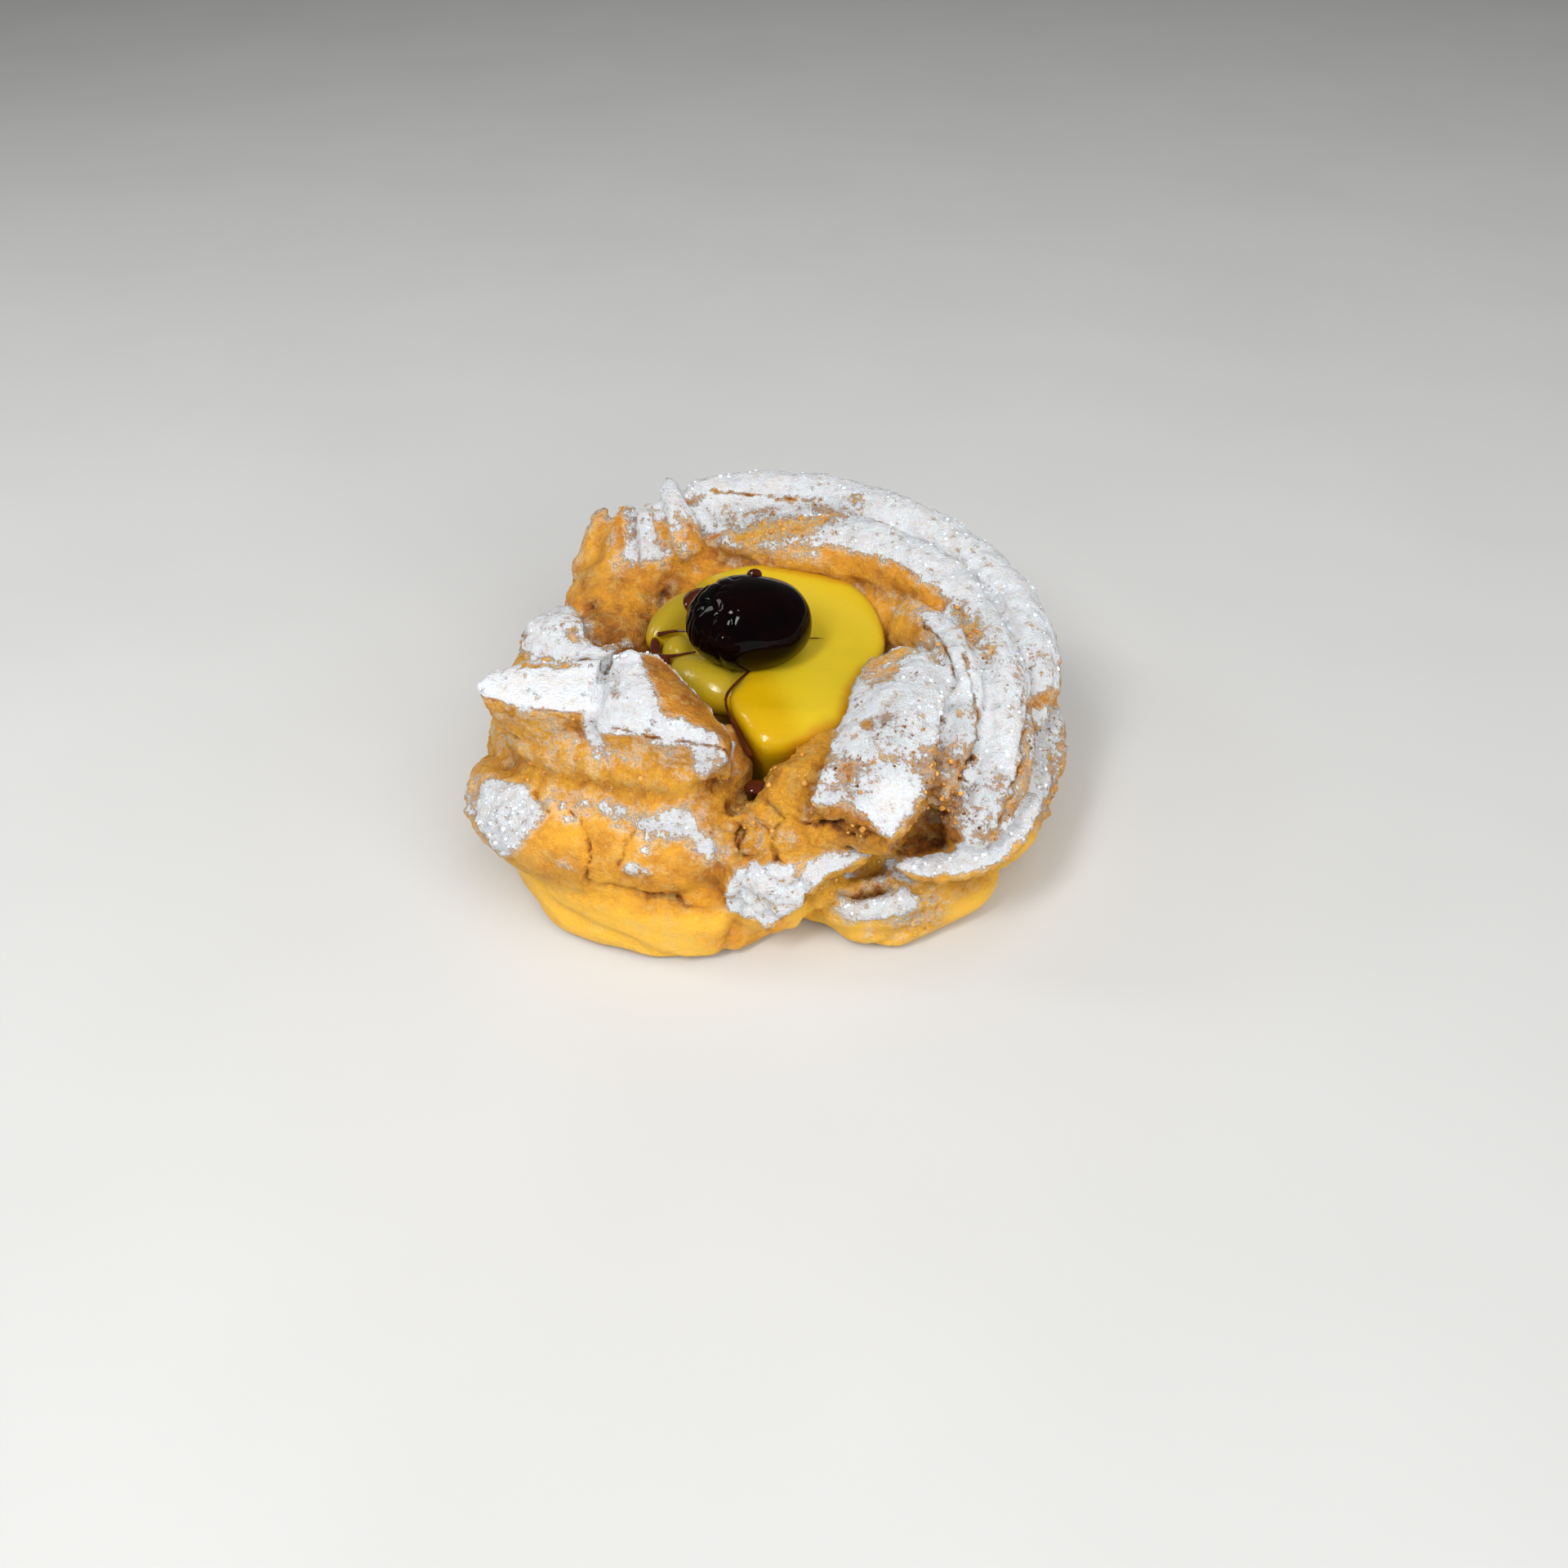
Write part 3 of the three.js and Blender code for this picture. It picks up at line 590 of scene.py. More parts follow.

# areas, creases and cracks are drawn as the camera sees them: x and y in turn, in pixels of the frame;
# an area sets how much sugar lies there, how brown the crust is, and how crumbly, from 0 to 1; in some areas the brown
# is painted shade
areas = [
    # back dome and left arm
    dict(sugar=0.95, soft=4, outline=[
        655, 742, 642, 757, 640, 800, 660, 806, 690, 804, 733, 800, 738, 790, 722, 765, 705, 748, 685, 740]),
    dict(sugar=0.5, rough=0.9, soft=3, outline=[650, 742, 645, 757, 644, 800, 634, 812, 630, 750]),
    dict(sugar=0.42, rough=0.6, soft=5, outline=[682, 766, 700, 762, 722, 765, 730, 782, 705, 786, 688, 782]),
    dict(sugar=0.05, bake=0.35, soft=3, outline=[
        634, 804, 660, 808, 690, 807, 712, 811, 700, 818, 665, 817, 634, 821]),
    dict(sugar=1.0, rough=0.1, soft=2.5, outline=[
        580, 833, 600, 826, 625, 819, 640, 819, 700, 817, 735, 800, 745, 830, 735, 870, 712, 873, 680, 870, 640, 865,
        600, 857, 580, 850]),
    dict(sugar=1.0, rough=0.5, soft=3, outline=[
        738, 800, 755, 793, 772, 783, 781, 788, 790, 805, 796, 830, 806, 855, 819, 876, 845, 884, 875, 896, 895, 911,
        896, 920, 870, 912, 840, 906, 800, 901, 765, 892, 745, 889, 735, 905, 722, 918, 710, 895, 712, 873, 735, 870,
        740, 830]),
    dict(sugar=0.6, rough=0.8, soft=5, outline=[742, 815, 758, 818, 762, 850, 748, 858, 738, 840]),
    dict(sugar=0.42, rough=0.7, bake=0.42, soft=5, outline=[
        588, 858, 640, 870, 710, 878, 705, 893, 660, 895, 620, 884, 592, 874]),
    dict(sugar=0.05, bake=0.55, soft=4, outline=[608, 866, 626, 868, 628, 884, 614, 884]),
    dict(sugar=0.05, bake=0.55, soft=4, outline=[688, 882, 708, 882, 712, 905, 694, 903]),
    dict(sugar=0.85, rough=0.9, clump=0.5, soft=4, outline=[
        838, 914, 862, 909, 892, 921, 898, 932, 882, 944, 868, 962, 850, 960, 846, 940]),
    dict(sugar=0.45, rough=0.7, soft=5, outline=[770, 900, 838, 912, 842, 935, 810, 930, 775, 915]),
    # inner wall and saddle, wet with syrup
    dict(sugar=0.0, bake=0.68, rough=0.08, wet=0.7, grooved=0, soft=3, outline=[
        782, 788, 800, 792, 835, 815, 880, 845, 910, 880, 930, 920, 932, 945, 908, 962, 900, 930, 878, 898, 847, 884,
        818, 876, 806, 853, 797, 828, 790, 804]),
    dict(sugar=0.0, bake=0.86, rough=0.05, wet=1, soft=3, outline=[
        800, 784, 826, 806, 860, 828, 893, 850, 910, 878, 930, 915, 936, 945, 915, 965, 918, 940, 900, 895, 880, 862,
        845, 836, 815, 812]),
    dict(sugar=0.03, bake=0.6, soft=8, outline=[795, 808, 815, 818, 835, 845, 822, 862, 806, 845]),
    dict(sugar=0.0, bake=0.74, rough=0.08, wet=0.5, soft=4, outline=[
        658, 736, 700, 730, 760, 735, 800, 758, 818, 786, 826, 808, 806, 800, 782, 784, 765, 781, 746, 794, 736, 794,
        724, 765, 707, 747, 685, 738]),
    # side of the left lobe
    dict(sugar=0.22, bake=0.34, rough=0.6, grooved=0, soft=6, outline=[
        585, 878, 640, 893, 700, 905, 735, 925, 770, 912, 835, 935, 860, 964, 908, 958, 900, 985, 850, 980, 780, 972,
        700, 966, 640, 950, 596, 915]),
    dict(sugar=0.06, bake=0.42, rough=0.7, grooved=0, soft=8, outline=[
        600, 925, 650, 932, 720, 944, 800, 950, 880, 965, 900, 1000, 840, 985, 760, 978, 680, 970, 610, 950]),
    # lower layer
    dict(sugar=0.04, bake=0.42, rough=0.15, grooved=0, soft=6, outline=[
        572, 962, 640, 966, 720, 982, 800, 992, 880, 1004, 896, 1060, 880, 1100, 800, 1092, 700, 1072, 620, 1055,
        580, 1030]),
    dict(sugar=1.0, rough=0.7, clump=0.4, soft=3, outline=[
        598, 950, 615, 955, 640, 962, 655, 975, 668, 990, 660, 1005, 650, 1015, 640, 1030, 626, 1048, 612, 1052,
        600, 1040, 588, 1020, 578, 1000, 576, 985, 585, 965]),
    dict(sugar=0.5, rough=0.5, soft=4, outline=[585, 945, 596, 952, 584, 968, 577, 1000, 560, 1000, 560, 960]),
    dict(sugar=0.55, rough=0.5, soft=5, outline=[668, 973, 700, 976, 738, 984, 740, 997, 705, 995, 672, 990]),
    dict(sugar=0.75, rough=0.8, soft=5, outline=[
        735, 985, 765, 990, 800, 998, 830, 990, 855, 983, 876, 990, 886, 1010, 896, 1035, 888, 1048, 866, 1052,
        850, 1040, 830, 1030, 800, 1030, 780, 1015, 750, 1005]),
    dict(sugar=0.95, rough=0.8, clump=0.7, soft=4, outline=[
        815, 1000, 845, 990, 872, 995, 884, 1020, 888, 1040, 862, 1035, 835, 1020]),
    dict(sugar=0.85, soft=2.5, outline=[683, 1058, 698, 1058, 700, 1066, 686, 1068]),
    dict(sugar=1.0, rough=0.9, soft=2.5, outline=[764, 1064, 780, 1059, 796, 1062, 798, 1070, 780, 1074, 766, 1072]),
    dict(sugar=0.85, soft=2.5, outline=[786, 1036, 796, 1038, 794, 1049, 786, 1047]),
    dict(sugar=0.8, soft=2.5, outline=[688, 999, 700, 999, 700, 1007, 690, 1007]),
    dict(sugar=0.85, soft=3, outline=[866, 1042, 880, 1048, 880, 1062, 868, 1056]),
    dict(bake=0.2, rough=0.2, soft=6, outline=[730, 1085, 800, 1098, 880, 1098, 880, 1112, 800, 1112, 730, 1100]),
    dict(bake=0.56, soft=7, outline=[800, 1062, 850, 1052, 888, 1058, 885, 1095, 840, 1090, 800, 1080]),
    dict(bake=0.5, soft=8, outline=[860, 1150, 900, 1135, 960, 1128, 975, 1150, 930, 1170, 880, 1172]),
    # the seam
    dict(sugar=0.05, bake=0.5, rough=0.5, clump=0.5, wet=0.6, grooved=0, soft=6, outline=[
        850, 990, 905, 950, 935, 985, 960, 1000, 1010, 1005, 1060, 1010, 1080, 1035, 1040, 1042, 1000, 1055,
        960, 1062, 905, 1060, 870, 1030]),
    dict(sugar=0.2, bake=0.4, rough=0.8, clump=1.2, soft=6, outline=[
        890, 1010, 925, 1000, 960, 1010, 985, 1030, 950, 1045, 905, 1040]),
    dict(sugar=1.0, rough=0.55, clump=1, soft=2, outline=[
        893, 1078, 905, 1066, 920, 1060, 945, 1058, 965, 1065, 980, 1076, 990, 1062, 1010, 1050, 1035, 1042,
        1053, 1041, 1050, 1053, 1030, 1062, 1010, 1072, 997, 1085, 987, 1102, 975, 1117, 957, 1130, 945, 1141,
        925, 1131, 905, 1126, 893, 1112, 889, 1095]),
    dict(sugar=0.05, bake=0.25, rough=0.8, soft=3, outline=[
        1000, 1086, 1012, 1074, 1035, 1064, 1055, 1050, 1085, 1045, 1080, 1062, 1050, 1080, 1020, 1098, 1000, 1105]),
    # broad inner flute
    dict(sugar=0.1, bake=0.45, rough=0.5, soft=5, outline=[
        1080, 760, 1110, 756, 1130, 760, 1150, 778, 1160, 800, 1130, 790, 1100, 806, 1070, 812, 1062, 800]),
    dict(sugar=0.5, rough=0.9, soft=4, outline=[1118, 782, 1140, 776, 1160, 796, 1162, 815, 1140, 805]),
    dict(sugar=0.3, rough=0.2, soft=7, outline=[1062, 800, 1100, 808, 1098, 835, 1060, 845, 1045, 835]),
    dict(sugar=0.82, rough=0.6, soft=5, outline=[
        1052, 838, 1095, 830, 1110, 812, 1150, 806, 1162, 825, 1160, 870, 1152, 908, 1128, 920, 1105, 945, 1075, 955,
        1040, 935, 1010, 955, 1024, 905, 1040, 870]),
    dict(sugar=0.98, soft=5, outline=[1098, 838, 1140, 822, 1155, 835, 1150, 880, 1120, 890, 1100, 870]),
    dict(sugar=0.6, rough=0.9, soft=5, outline=[1068, 885, 1085, 868, 1115, 900, 1108, 948, 1085, 950, 1075, 920]),
    dict(sugar=0.3, bake=0.6, rough=0.5, soft=6, outline=[
        1020, 928, 1048, 920, 1062, 940, 1058, 962, 1035, 962, 1015, 958]),
    dict(sugar=0.1, bake=0.6, soft=3, outline=[1050, 880, 1062, 878, 1066, 890, 1055, 892]),
    dict(sugar=0.85, soft=3, outline=[1012, 925, 1020, 925, 1008, 960, 992, 982, 985, 990, 990, 970]),
    dict(sugar=0.62, rough=0.9, soft=5, outline=[
        990, 985, 1012, 960, 1060, 962, 1078, 955, 1058, 985, 1045, 988, 1020, 985]),
    dict(sugar=1.0, rough=0.3, soft=3, outline=[
        1060, 985, 1078, 958, 1100, 946, 1120, 952, 1127, 968, 1118, 990, 1103, 1010, 1088, 1029, 1076, 1022,
        1058, 1000]),
    dict(sugar=0.3, bake=0.62, rough=0.8, soft=6, outline=[1128, 920, 1150, 912, 1153, 930, 1135, 950, 1110, 945]),
    # darker crust in the recess between the broad and short flutes: partly brown crust, partly painted shade
    dict(sugar=0.36, bake=0.68, rough=1.0, soft=4, outline=[
        1153, 915, 1178, 925, 1190, 928, 1175, 965, 1150, 992, 1125, 1008, 1102, 1024, 1118, 990, 1130, 965,
        1140, 945]),
    # darker crust below the broad flute's front: partly brown crust, partly painted shade
    dict(sugar=0.0, bake=0.58, rough=0.8, soft=5, outline=[
        985, 992, 1040, 990, 1058, 1003, 1076, 1024, 1088, 1032, 1085, 1045, 1040, 1035, 1000, 1010]),
    dict(sugar=0.02, bake=0.42, rough=0.7, soft=5, outline=[
        935, 930, 985, 905, 1022, 895, 1010, 930, 988, 975, 984, 995, 950, 995, 925, 965]),
    # short flute
    dict(sugar=0.97, soft=3, outline=[
        1108, 752, 1118, 742, 1140, 739, 1158, 746, 1172, 764, 1188, 792, 1197, 830, 1200, 862, 1188, 850, 1178, 870,
        1170, 850, 1170, 822, 1166, 802, 1152, 780, 1130, 762]),
    dict(sugar=0.68, rough=0.9, soft=4, outline=[
        1170, 855, 1188, 850, 1202, 868, 1203, 895, 1190, 925, 1168, 928, 1158, 910, 1162, 880]),
    # middle flute and the bare strip inside it
    dict(sugar=0.0, bake=0.5, rough=0.05, soft=4, outline=[
        998, 672, 1030, 668, 1060, 680, 1100, 690, 1130, 710, 1162, 732, 1150, 748, 1120, 737, 1080, 722, 1050, 712,
        1020, 700, 1000, 690]),
    dict(sugar=0.12, bake=0.3, rough=0.4, soft=4, outline=[
        1050, 714, 1080, 724, 1118, 739, 1128, 752, 1110, 750, 1085, 745, 1062, 740]),
    dict(sugar=0.0, bake=0.42, rough=0.1, soft=4, outline=[
        1062, 740, 1085, 745, 1108, 752, 1130, 765, 1120, 782, 1080, 770]),
    dict(sugar=0.44, bake=0.3, rough=1.0, soft=4, outline=[
        1150, 738, 1175, 738, 1198, 752, 1215, 772, 1226, 796, 1214, 806, 1200, 797, 1182, 782, 1170, 762]),
    dict(sugar=0.62, rough=0.9, soft=4, outline=[1170, 733, 1190, 732, 1215, 758, 1232, 795, 1222, 800, 1205, 765]),
    dict(sugar=0.7, rough=0.9, bake=0.6, soft=5, outline=[
        1172, 955, 1200, 925, 1235, 945, 1245, 975, 1230, 1005, 1212, 1028, 1195, 1034, 1172, 1015, 1162, 985]),
    dict(sugar=0.1, bake=0.75, rough=0.6, soft=3, outline=[
        1262, 870, 1268, 872, 1262, 925, 1248, 985, 1228, 1018, 1214, 1030, 1230, 1002, 1245, 968, 1256, 915]),
    dict(sugar=0.0, bake=0.7, rough=0.3, soft=3, outline=[1262, 858, 1290, 842, 1298, 850, 1288, 866, 1268, 874]),
    # outer and low flutes at the right
    dict(sugar=0.5, bake=0.55, rough=0.7, soft=3, outline=[
        1236, 800, 1250, 812, 1262, 850, 1264, 880, 1258, 930, 1244, 985, 1232, 990, 1246, 930, 1252, 880,
        1248, 840]),
    dict(sugar=0.3, bake=0.55, rough=0.9, soft=4, outline=[
        1118, 1000, 1140, 975, 1165, 960, 1176, 985, 1172, 1005, 1150, 1008, 1130, 1012]),
    # painted shade: the cavity under the broad flute's tip is painted dark brown
    dict(sugar=0.0, bake=0.85, rough=0.6, wet=0.5, soft=2, outline=[
        1088, 1044, 1100, 1030, 1125, 1018, 1150, 1010, 1168, 1012, 1175, 1024, 1186, 1034, 1165, 1038, 1130, 1046,
        1100, 1052]),
    # painted shade: the inside of the small hole at the front is painted dark brown
    dict(sugar=0.0, bake=0.9, wet=0.5, soft=2, outline=[
        1036, 1092, 1050, 1080, 1075, 1070, 1092, 1074, 1088, 1090, 1060, 1100, 1042, 1104]),
    dict(sugar=0.7, rough=0.8, soft=6, outline=[1225, 720, 1250, 735, 1290, 800, 1294, 850, 1275, 850, 1255, 790]),
    dict(sugar=0.85, rough=0.8, soft=5, outline=[
        1268, 878, 1290, 868, 1300, 900, 1296, 960, 1280, 1000, 1262, 985, 1266, 930]),
    dict(sugar=0.45, bake=0.6, rough=0.9, soft=4, outline=[
        1286, 900, 1304, 890, 1304, 975, 1284, 1010, 1270, 1018, 1284, 975]),
    # back
    dict(sugar=0.66, rough=1.0, soft=6, outline=[
        880, 628, 930, 622, 985, 614, 1055, 606, 1062, 622, 1040, 645, 1000, 655, 930, 652, 890, 655]),
    dict(sugar=0.15, bake=0.35, rough=1.0, soft=4, outline=[
        893, 650, 915, 641, 950, 640, 978, 632, 1000, 640, 998, 652, 960, 662, 930, 666, 900, 670]),
    dict(sugar=0.25, bake=0.45, rough=0.8, soft=3, outline=[995, 630, 1015, 624, 1028, 632, 1012, 644, 996, 642]),
    dict(sugar=0.25, bake=0.5, rough=0.6, soft=3, outline=[1040, 608, 1056, 606, 1058, 616, 1044, 620]),
    dict(sugar=0.48, bake=0.4, rough=0.4, soft=6, outline=[
        868, 668, 900, 672, 940, 667, 1000, 655, 1010, 668, 1000, 686, 940, 692, 895, 690]),
    dict(sugar=0.0, bake=0.55, rough=0.1, soft=4, outline=[
        830, 628, 845, 632, 868, 655, 895, 680, 890, 694, 860, 688, 840, 670, 832, 650]),
    dict(sugar=0.1, bake=0.55, soft=3, outline=[838, 608, 860, 604, 864, 612, 846, 617]),
    # back left end
    dict(sugar=0.08, bake=0.46, rough=0.35, grooved=0, soft=5, outline=[
        735, 625, 750, 640, 754, 690, 745, 725, 705, 730, 696, 700, 705, 655, 722, 630]),
    dict(sugar=0.02, bake=0.58, rough=0.2, soft=3, outline=[
        750, 612, 762, 612, 768, 650, 768, 682, 757, 692, 750, 650]),
    # a narrow streak of painted shadow: darker crust with little sugar
    dict(sugar=0.25, bake=0.7, rough=0.2, soft=3, outline=[768, 612, 780, 614, 778, 655, 769, 652]),
    dict(sugar=0.95, rough=0.6, soft=4, outline=[
        782, 622, 800, 625, 803, 650, 812, 678, 800, 690, 782, 688, 770, 672, 778, 650]),
    dict(sugar=0.08, bake=0.4, rough=0.4, soft=3, outline=[800, 634, 812, 634, 822, 664, 812, 672, 804, 655]),
    dict(sugar=0.36, rough=0.2, soft=6, outline=[815, 656, 838, 650, 855, 668, 850, 686, 828, 684]),
    dict(sugar=0.0, bake=0.55, rough=0.15, grooved=0, soft=6, outline=[
        712, 722, 745, 715, 770, 690, 815, 690, 850, 690, 830, 710, 800, 735, 790, 760, 740, 740]),
    # front ridge and lobe
    dict(sugar=1.0, rough=0.7, clump=0.5, soft=2, outline=[
        1084, 1053, 1121, 1049, 1144, 1045, 1173, 1035, 1212, 1030, 1226, 1019, 1240, 998, 1252, 1002, 1243, 1028,
        1220, 1054, 1190, 1065, 1162, 1069, 1134, 1075, 1100, 1065, 1082, 1061]),
    dict(sugar=0.1, bake=0.28, rough=0.6, soft=4, outline=[
        1085, 1064, 1134, 1078, 1190, 1068, 1222, 1058, 1246, 1030, 1262, 1022, 1225, 1084, 1172, 1108, 1150, 1125,
        1120, 1100, 1095, 1088]),
    dict(sugar=0.46, bake=0.3, rough=0.8, soft=6, outline=[
        1095, 1085, 1125, 1090, 1160, 1105, 1150, 1130, 1110, 1150, 1060, 1148, 1090, 1120]),
    dict(sugar=1.0, rough=0.7, clump=0.6, soft=3, outline=[
        1015, 1120, 1030, 1106, 1060, 1102, 1085, 1094, 1108, 1090, 1120, 1100, 1112, 1116, 1095, 1126, 1070, 1130,
        1035, 1131]),
]

creases = [
    dict(deep=1.6, wide=2.0, line=[578, 905, 592, 918, 640, 941, 700, 960, 760, 974, 820, 982, 860, 978, 885, 965]),
    dict(deep=0.3, wide=0.9, line=[640, 1080, 700, 1086, 760, 1096, 820, 1102, 880, 1104]),
    dict(deep=1.2, wide=0.8, line=[978, 1082, 986, 1096, 991, 1108, 992, 1120]),
    dict(deep=1.2, wide=1.0, line=[900, 985, 925, 1000, 938, 1020, 930, 1042, 905, 1052]),
    dict(deep=1.0, wide=0.8, line=[1000, 1010, 1040, 1016, 1078, 1034]),
    dict(deep=3.2, wide=1.6, line=[1046, 1096, 1062, 1088, 1080, 1082]),
    dict(deep=0.8, wide=0.8, line=[722, 738, 752, 744, 790, 750]),
]

cracks = [
    dict(deep=0.8, wide=0.31, line=[652, 968, 660, 980, 668, 992]),
    dict(deep=0.8, wide=0.31, line=[
        697, 992, 710, 1010, 719, 1030, 722, 1050, 716, 1068, 715, 1080, 726, 1089, 760, 1095, 810, 1101, 860, 1106]),
    dict(deep=0.6, wide=0.30, line=[776, 1018, 766, 1032, 762, 1045, 755, 1062]),
    dict(deep=0.5, wide=0.30, line=[585, 853, 612, 861, 640, 866, 680, 871, 712, 874]),
    dict(deep=0.5, wide=0.30, line=[745, 892, 775, 896, 800, 903, 840, 909, 870, 914, 894, 922]),
    dict(deep=0.4, wide=0.30, line=[868, 600, 900, 604, 940, 609, 980, 611, 1020, 607, 1055, 604]),
    dict(deep=0.8, wide=0.30, line=[1128, 762, 1150, 781, 1162, 803, 1167, 830, 1163, 860, 1157, 890, 1153, 915]),
    dict(deep=1.0, wide=0.37, line=[1264, 868, 1258, 905, 1250, 942, 1238, 978, 1222, 1008]),
    dict(deep=0.9, wide=0.50, line=[1180, 800, 1195, 835, 1203, 868, 1203, 900, 1193, 930, 1178, 955]),
    dict(deep=0.7, wide=0.31, line=[932, 975, 945, 990, 958, 1002, 985, 1008, 1030, 1012]),
    dict(deep=0.9, wide=0.4, line=[956, 1000, 946, 1020, 944, 1040, 952, 1058]),
    dict(deep=0.7, wide=0.35, line=[1003, 1030, 1008, 1012, 1030, 1024, 1056, 1030]),
    dict(deep=0.7, wide=0.35, line=[908, 1008, 902, 1030, 912, 1048]),
    dict(deep=0.6, wide=0.31, line=[895, 1000, 910, 1022, 905, 1045]),
]


def nearestPart(spots):
    # for each spot: the number of its strand or chunk, and the ring of the strand
    found = []
    for number, part in enumerate(strands + chunks):
        if "rings" in part:
            for step, ring in enumerate(part["rings"]):
                found += [(spot, number, step) for spot in ring]
        else:
            found += [(spot, number, 0) for spot in part["spots"]]
    tree = kdtree.KDTree(len(found))
    for index, (spot, number, step) in enumerate(found):
        tree.insert(spot, index)
    tree.balance()
    owners = [found[tree.find(spot)[1]][1:] for spot in spots]
    return np.array(owners)


def acrossAndAlong(spots, owners):
    # how far round a strand, and how far along it, each spot lies, in mm
    across, along = np.zeros(len(spots)), np.zeros(len(spots))
    for number, strand in enumerate(strands):
        rings = strand["rings"]
        middle = rings.mean(1)
        run = np.append(0, np.cumsum(np.linalg.norm(np.diff(middle, axis=0), axis=1)))
        mine = np.flatnonzero(owners[:, 0] == number)
        step = owners[mine, 1]
        top = rings[step, 0] - middle[step]
        side = rings[step, dough["ringSides"] // 4] - middle[step]
        reach = spots[mine] - middle[step]
        size = np.linalg.norm(top, axis=1)
        angle = np.arctan2((reach * side).sum(1), (reach * top).sum(1))
        across[mine] = angle * np.maximum(size, 3)
        along[mine] = run[step]
    return across, along


def fillCreases(spots, edges, normals):
    soft = spread(spots, edges, surface["creaseRounds"])
    rise = ((soft - spots) * normals).sum(1)
    return spots + normals * np.where(rise > 0, rise, surface["crestShare"] * rise)[:, None]


def inFrame(spots):
    # where the camera sees each spot, in pixels of the frame
    pitch = math.radians(camera["lookDown"])
    right, back, up = (spots - np.array(camera["spot"]) / mm).T
    ahead = back * math.cos(pitch) - up * math.sin(pitch)
    down = -back * math.sin(pitch) - up * math.cos(pitch)
    focal = surface["frameSize"] * camera["lens"] / camera["sensor"]
    middle = surface["frameSize"] / 2
    return np.stack([middle + focal * right / ahead, middle + focal * down / ahead], axis=-1)


def inSight(piece, spots, normals):
    # which spots the camera sees
    tree = BVHTree.FromObject(piece, bpy.context.evaluated_depsgraph_get())
    eye = np.array(camera["spot"])
    toSpot = spots * mm - eye
    reach = np.linalg.norm(toSpot, axis=1)
    facing = (toSpot * normals).sum(1) < 0
    seen = np.zeros(len(spots), bool)
    for index in np.flatnonzero(facing):
        distance = tree.ray_cast(eye, toSpot[index] / reach[index])[3]
        seen[index] = distance is None or distance > reach[index] - surface["sightMargin"] * mm
    return seen


def distanceTo(pixels, line, closed):
    # how far each pixel is from a line, and whether it is inside it when it is closed
    nearest = np.full(len(pixels), 1e9)
    inside = np.zeros(len(pixels), bool)
    corners = np.array(line, float).reshape(-1, 2)
    ends = np.roll(corners, -1, 0) if closed else corners[1:]
    for start, end in zip(corners, ends):
        along = end - start
        share = np.clip(((pixels - start) @ along) / (along @ along), 0, 1)
        nearest = np.minimum(nearest, np.linalg.norm(pixels - start - share[:, None] * along, axis=1))
        crosses = (start[1] > pixels[:, 1]) != (end[1] > pixels[:, 1])
        if start[1] != end[1]:
            at = start[0] + (pixels[:, 1] - start[1]) * along[0] / along[1]
            inside ^= crosses & (pixels[:, 0] < at)
    return nearest, inside


def paintAreas(fields, pixels, seen):
    for area in areas:
        outline = np.array(area["outline"]).reshape(-1, 2)
        soft = area["soft"] * surface["fade"]
        near = seen & (pixels > outline.min(0) - soft).all(1) & (pixels < outline.max(0) + soft).all(1)
        near = np.flatnonzero(near)
        distance, inside = distanceTo(pixels[near], outline, True)
        share = ease(np.where(inside, distance, -distance), -soft, soft)
        for name, values in fields.items():
            if name in area:
                values[near] += share * (area[name] - values[near])


spots = spotsOf(crust)
edges = neighboursOf(crust)
spots = fillCreases(spots, edges, normalsOf(crust))
moveSpots(crust, spots)
owners = nearestPart(spots)
across, along = acrossAndAlong(spots, owners)
print("strands known again on the joined dough")

normals = normalsOf(crust)
calm = spread(normals, edges, surface["calmRounds"])
up = calm[:, 2] / np.linalg.norm(calm, axis=1)
low = 1 - ease(spots[:, 2], *surface["footBand"])
fields = {}
for name, usual in (("sugar", 0), ("bake", 0.4), ("rough", 0.5), ("wet", 0), ("clump", 0), ("grooved", 1)):
    values = np.array([part.get(name, usual) for part in strands + chunks], float)[owners[:, 0]]
    fields[name] = spread(values, edges, surface["calmRounds"])
fields["sugar"] *= ease(up, 0.0, 0.55) * (1 - low)
# the foot stays unbrowned, so it takes the palest, most saturated yellow: partly its own lighter bake, partly painted
# warm light bounced up from below
fields["bake"] *= 1 - low
fields["rough"] *= 1 - 0.8 * low
size, reach = surface["wobble"]
pixels = inFrame(spots) + reach * np.stack([lumps(spots, size, seed, 2) for seed in (8, 9)], axis=-1)
seen = inSight(crust, spots, normals)
paintAreas(fields, pixels, seen)
sugar, bake, rough, wet = (fields[name] for name in ("sugar", "bake", "rough", "wet"))
print("sugar, crust and crumb laid out")

size, height = surface["swell"]
relief = height * lumps(spots, size, 1) - surface["inset"]
calmed = rough * (1 - 0.5 * ease(sugar, 0.4, 0.8))
size, height = surface["blister"]
relief += calmed * height * (np.abs(lumps(spots, size, 2)) - 0.25)
size, height = surface["crackle"]
relief += calmed * height * lumps(spots, size, 3, 2)
width, length, height = surface["streak"]
flow = np.stack([across / width, along / length, owners[:, 0] * surface["turnShift"]], axis=-1)
relief += height * lumps(flow, 1.0, 4)
size, height = surface["sugarClot"]
clots = lumps(spots, size, 5, 3)
cover = ease(sugar + 0.4 * clots, 0.35, 0.7)
relief += cover * (surface["sugarDepth"] + height * clots * (0.15 + rough))
rounds, depth = surface["groove"]
border = np.zeros(len(spots))
border[edges[owners[edges[:, 0], 0] != owners[edges[:, 1], 0]].ravel()] = 1
groove = np.minimum(1, surface["grooveGain"] * spread(border, edges, rounds))
relief -= depth * groove * fields["grooved"]
size, height = surface["clump"]
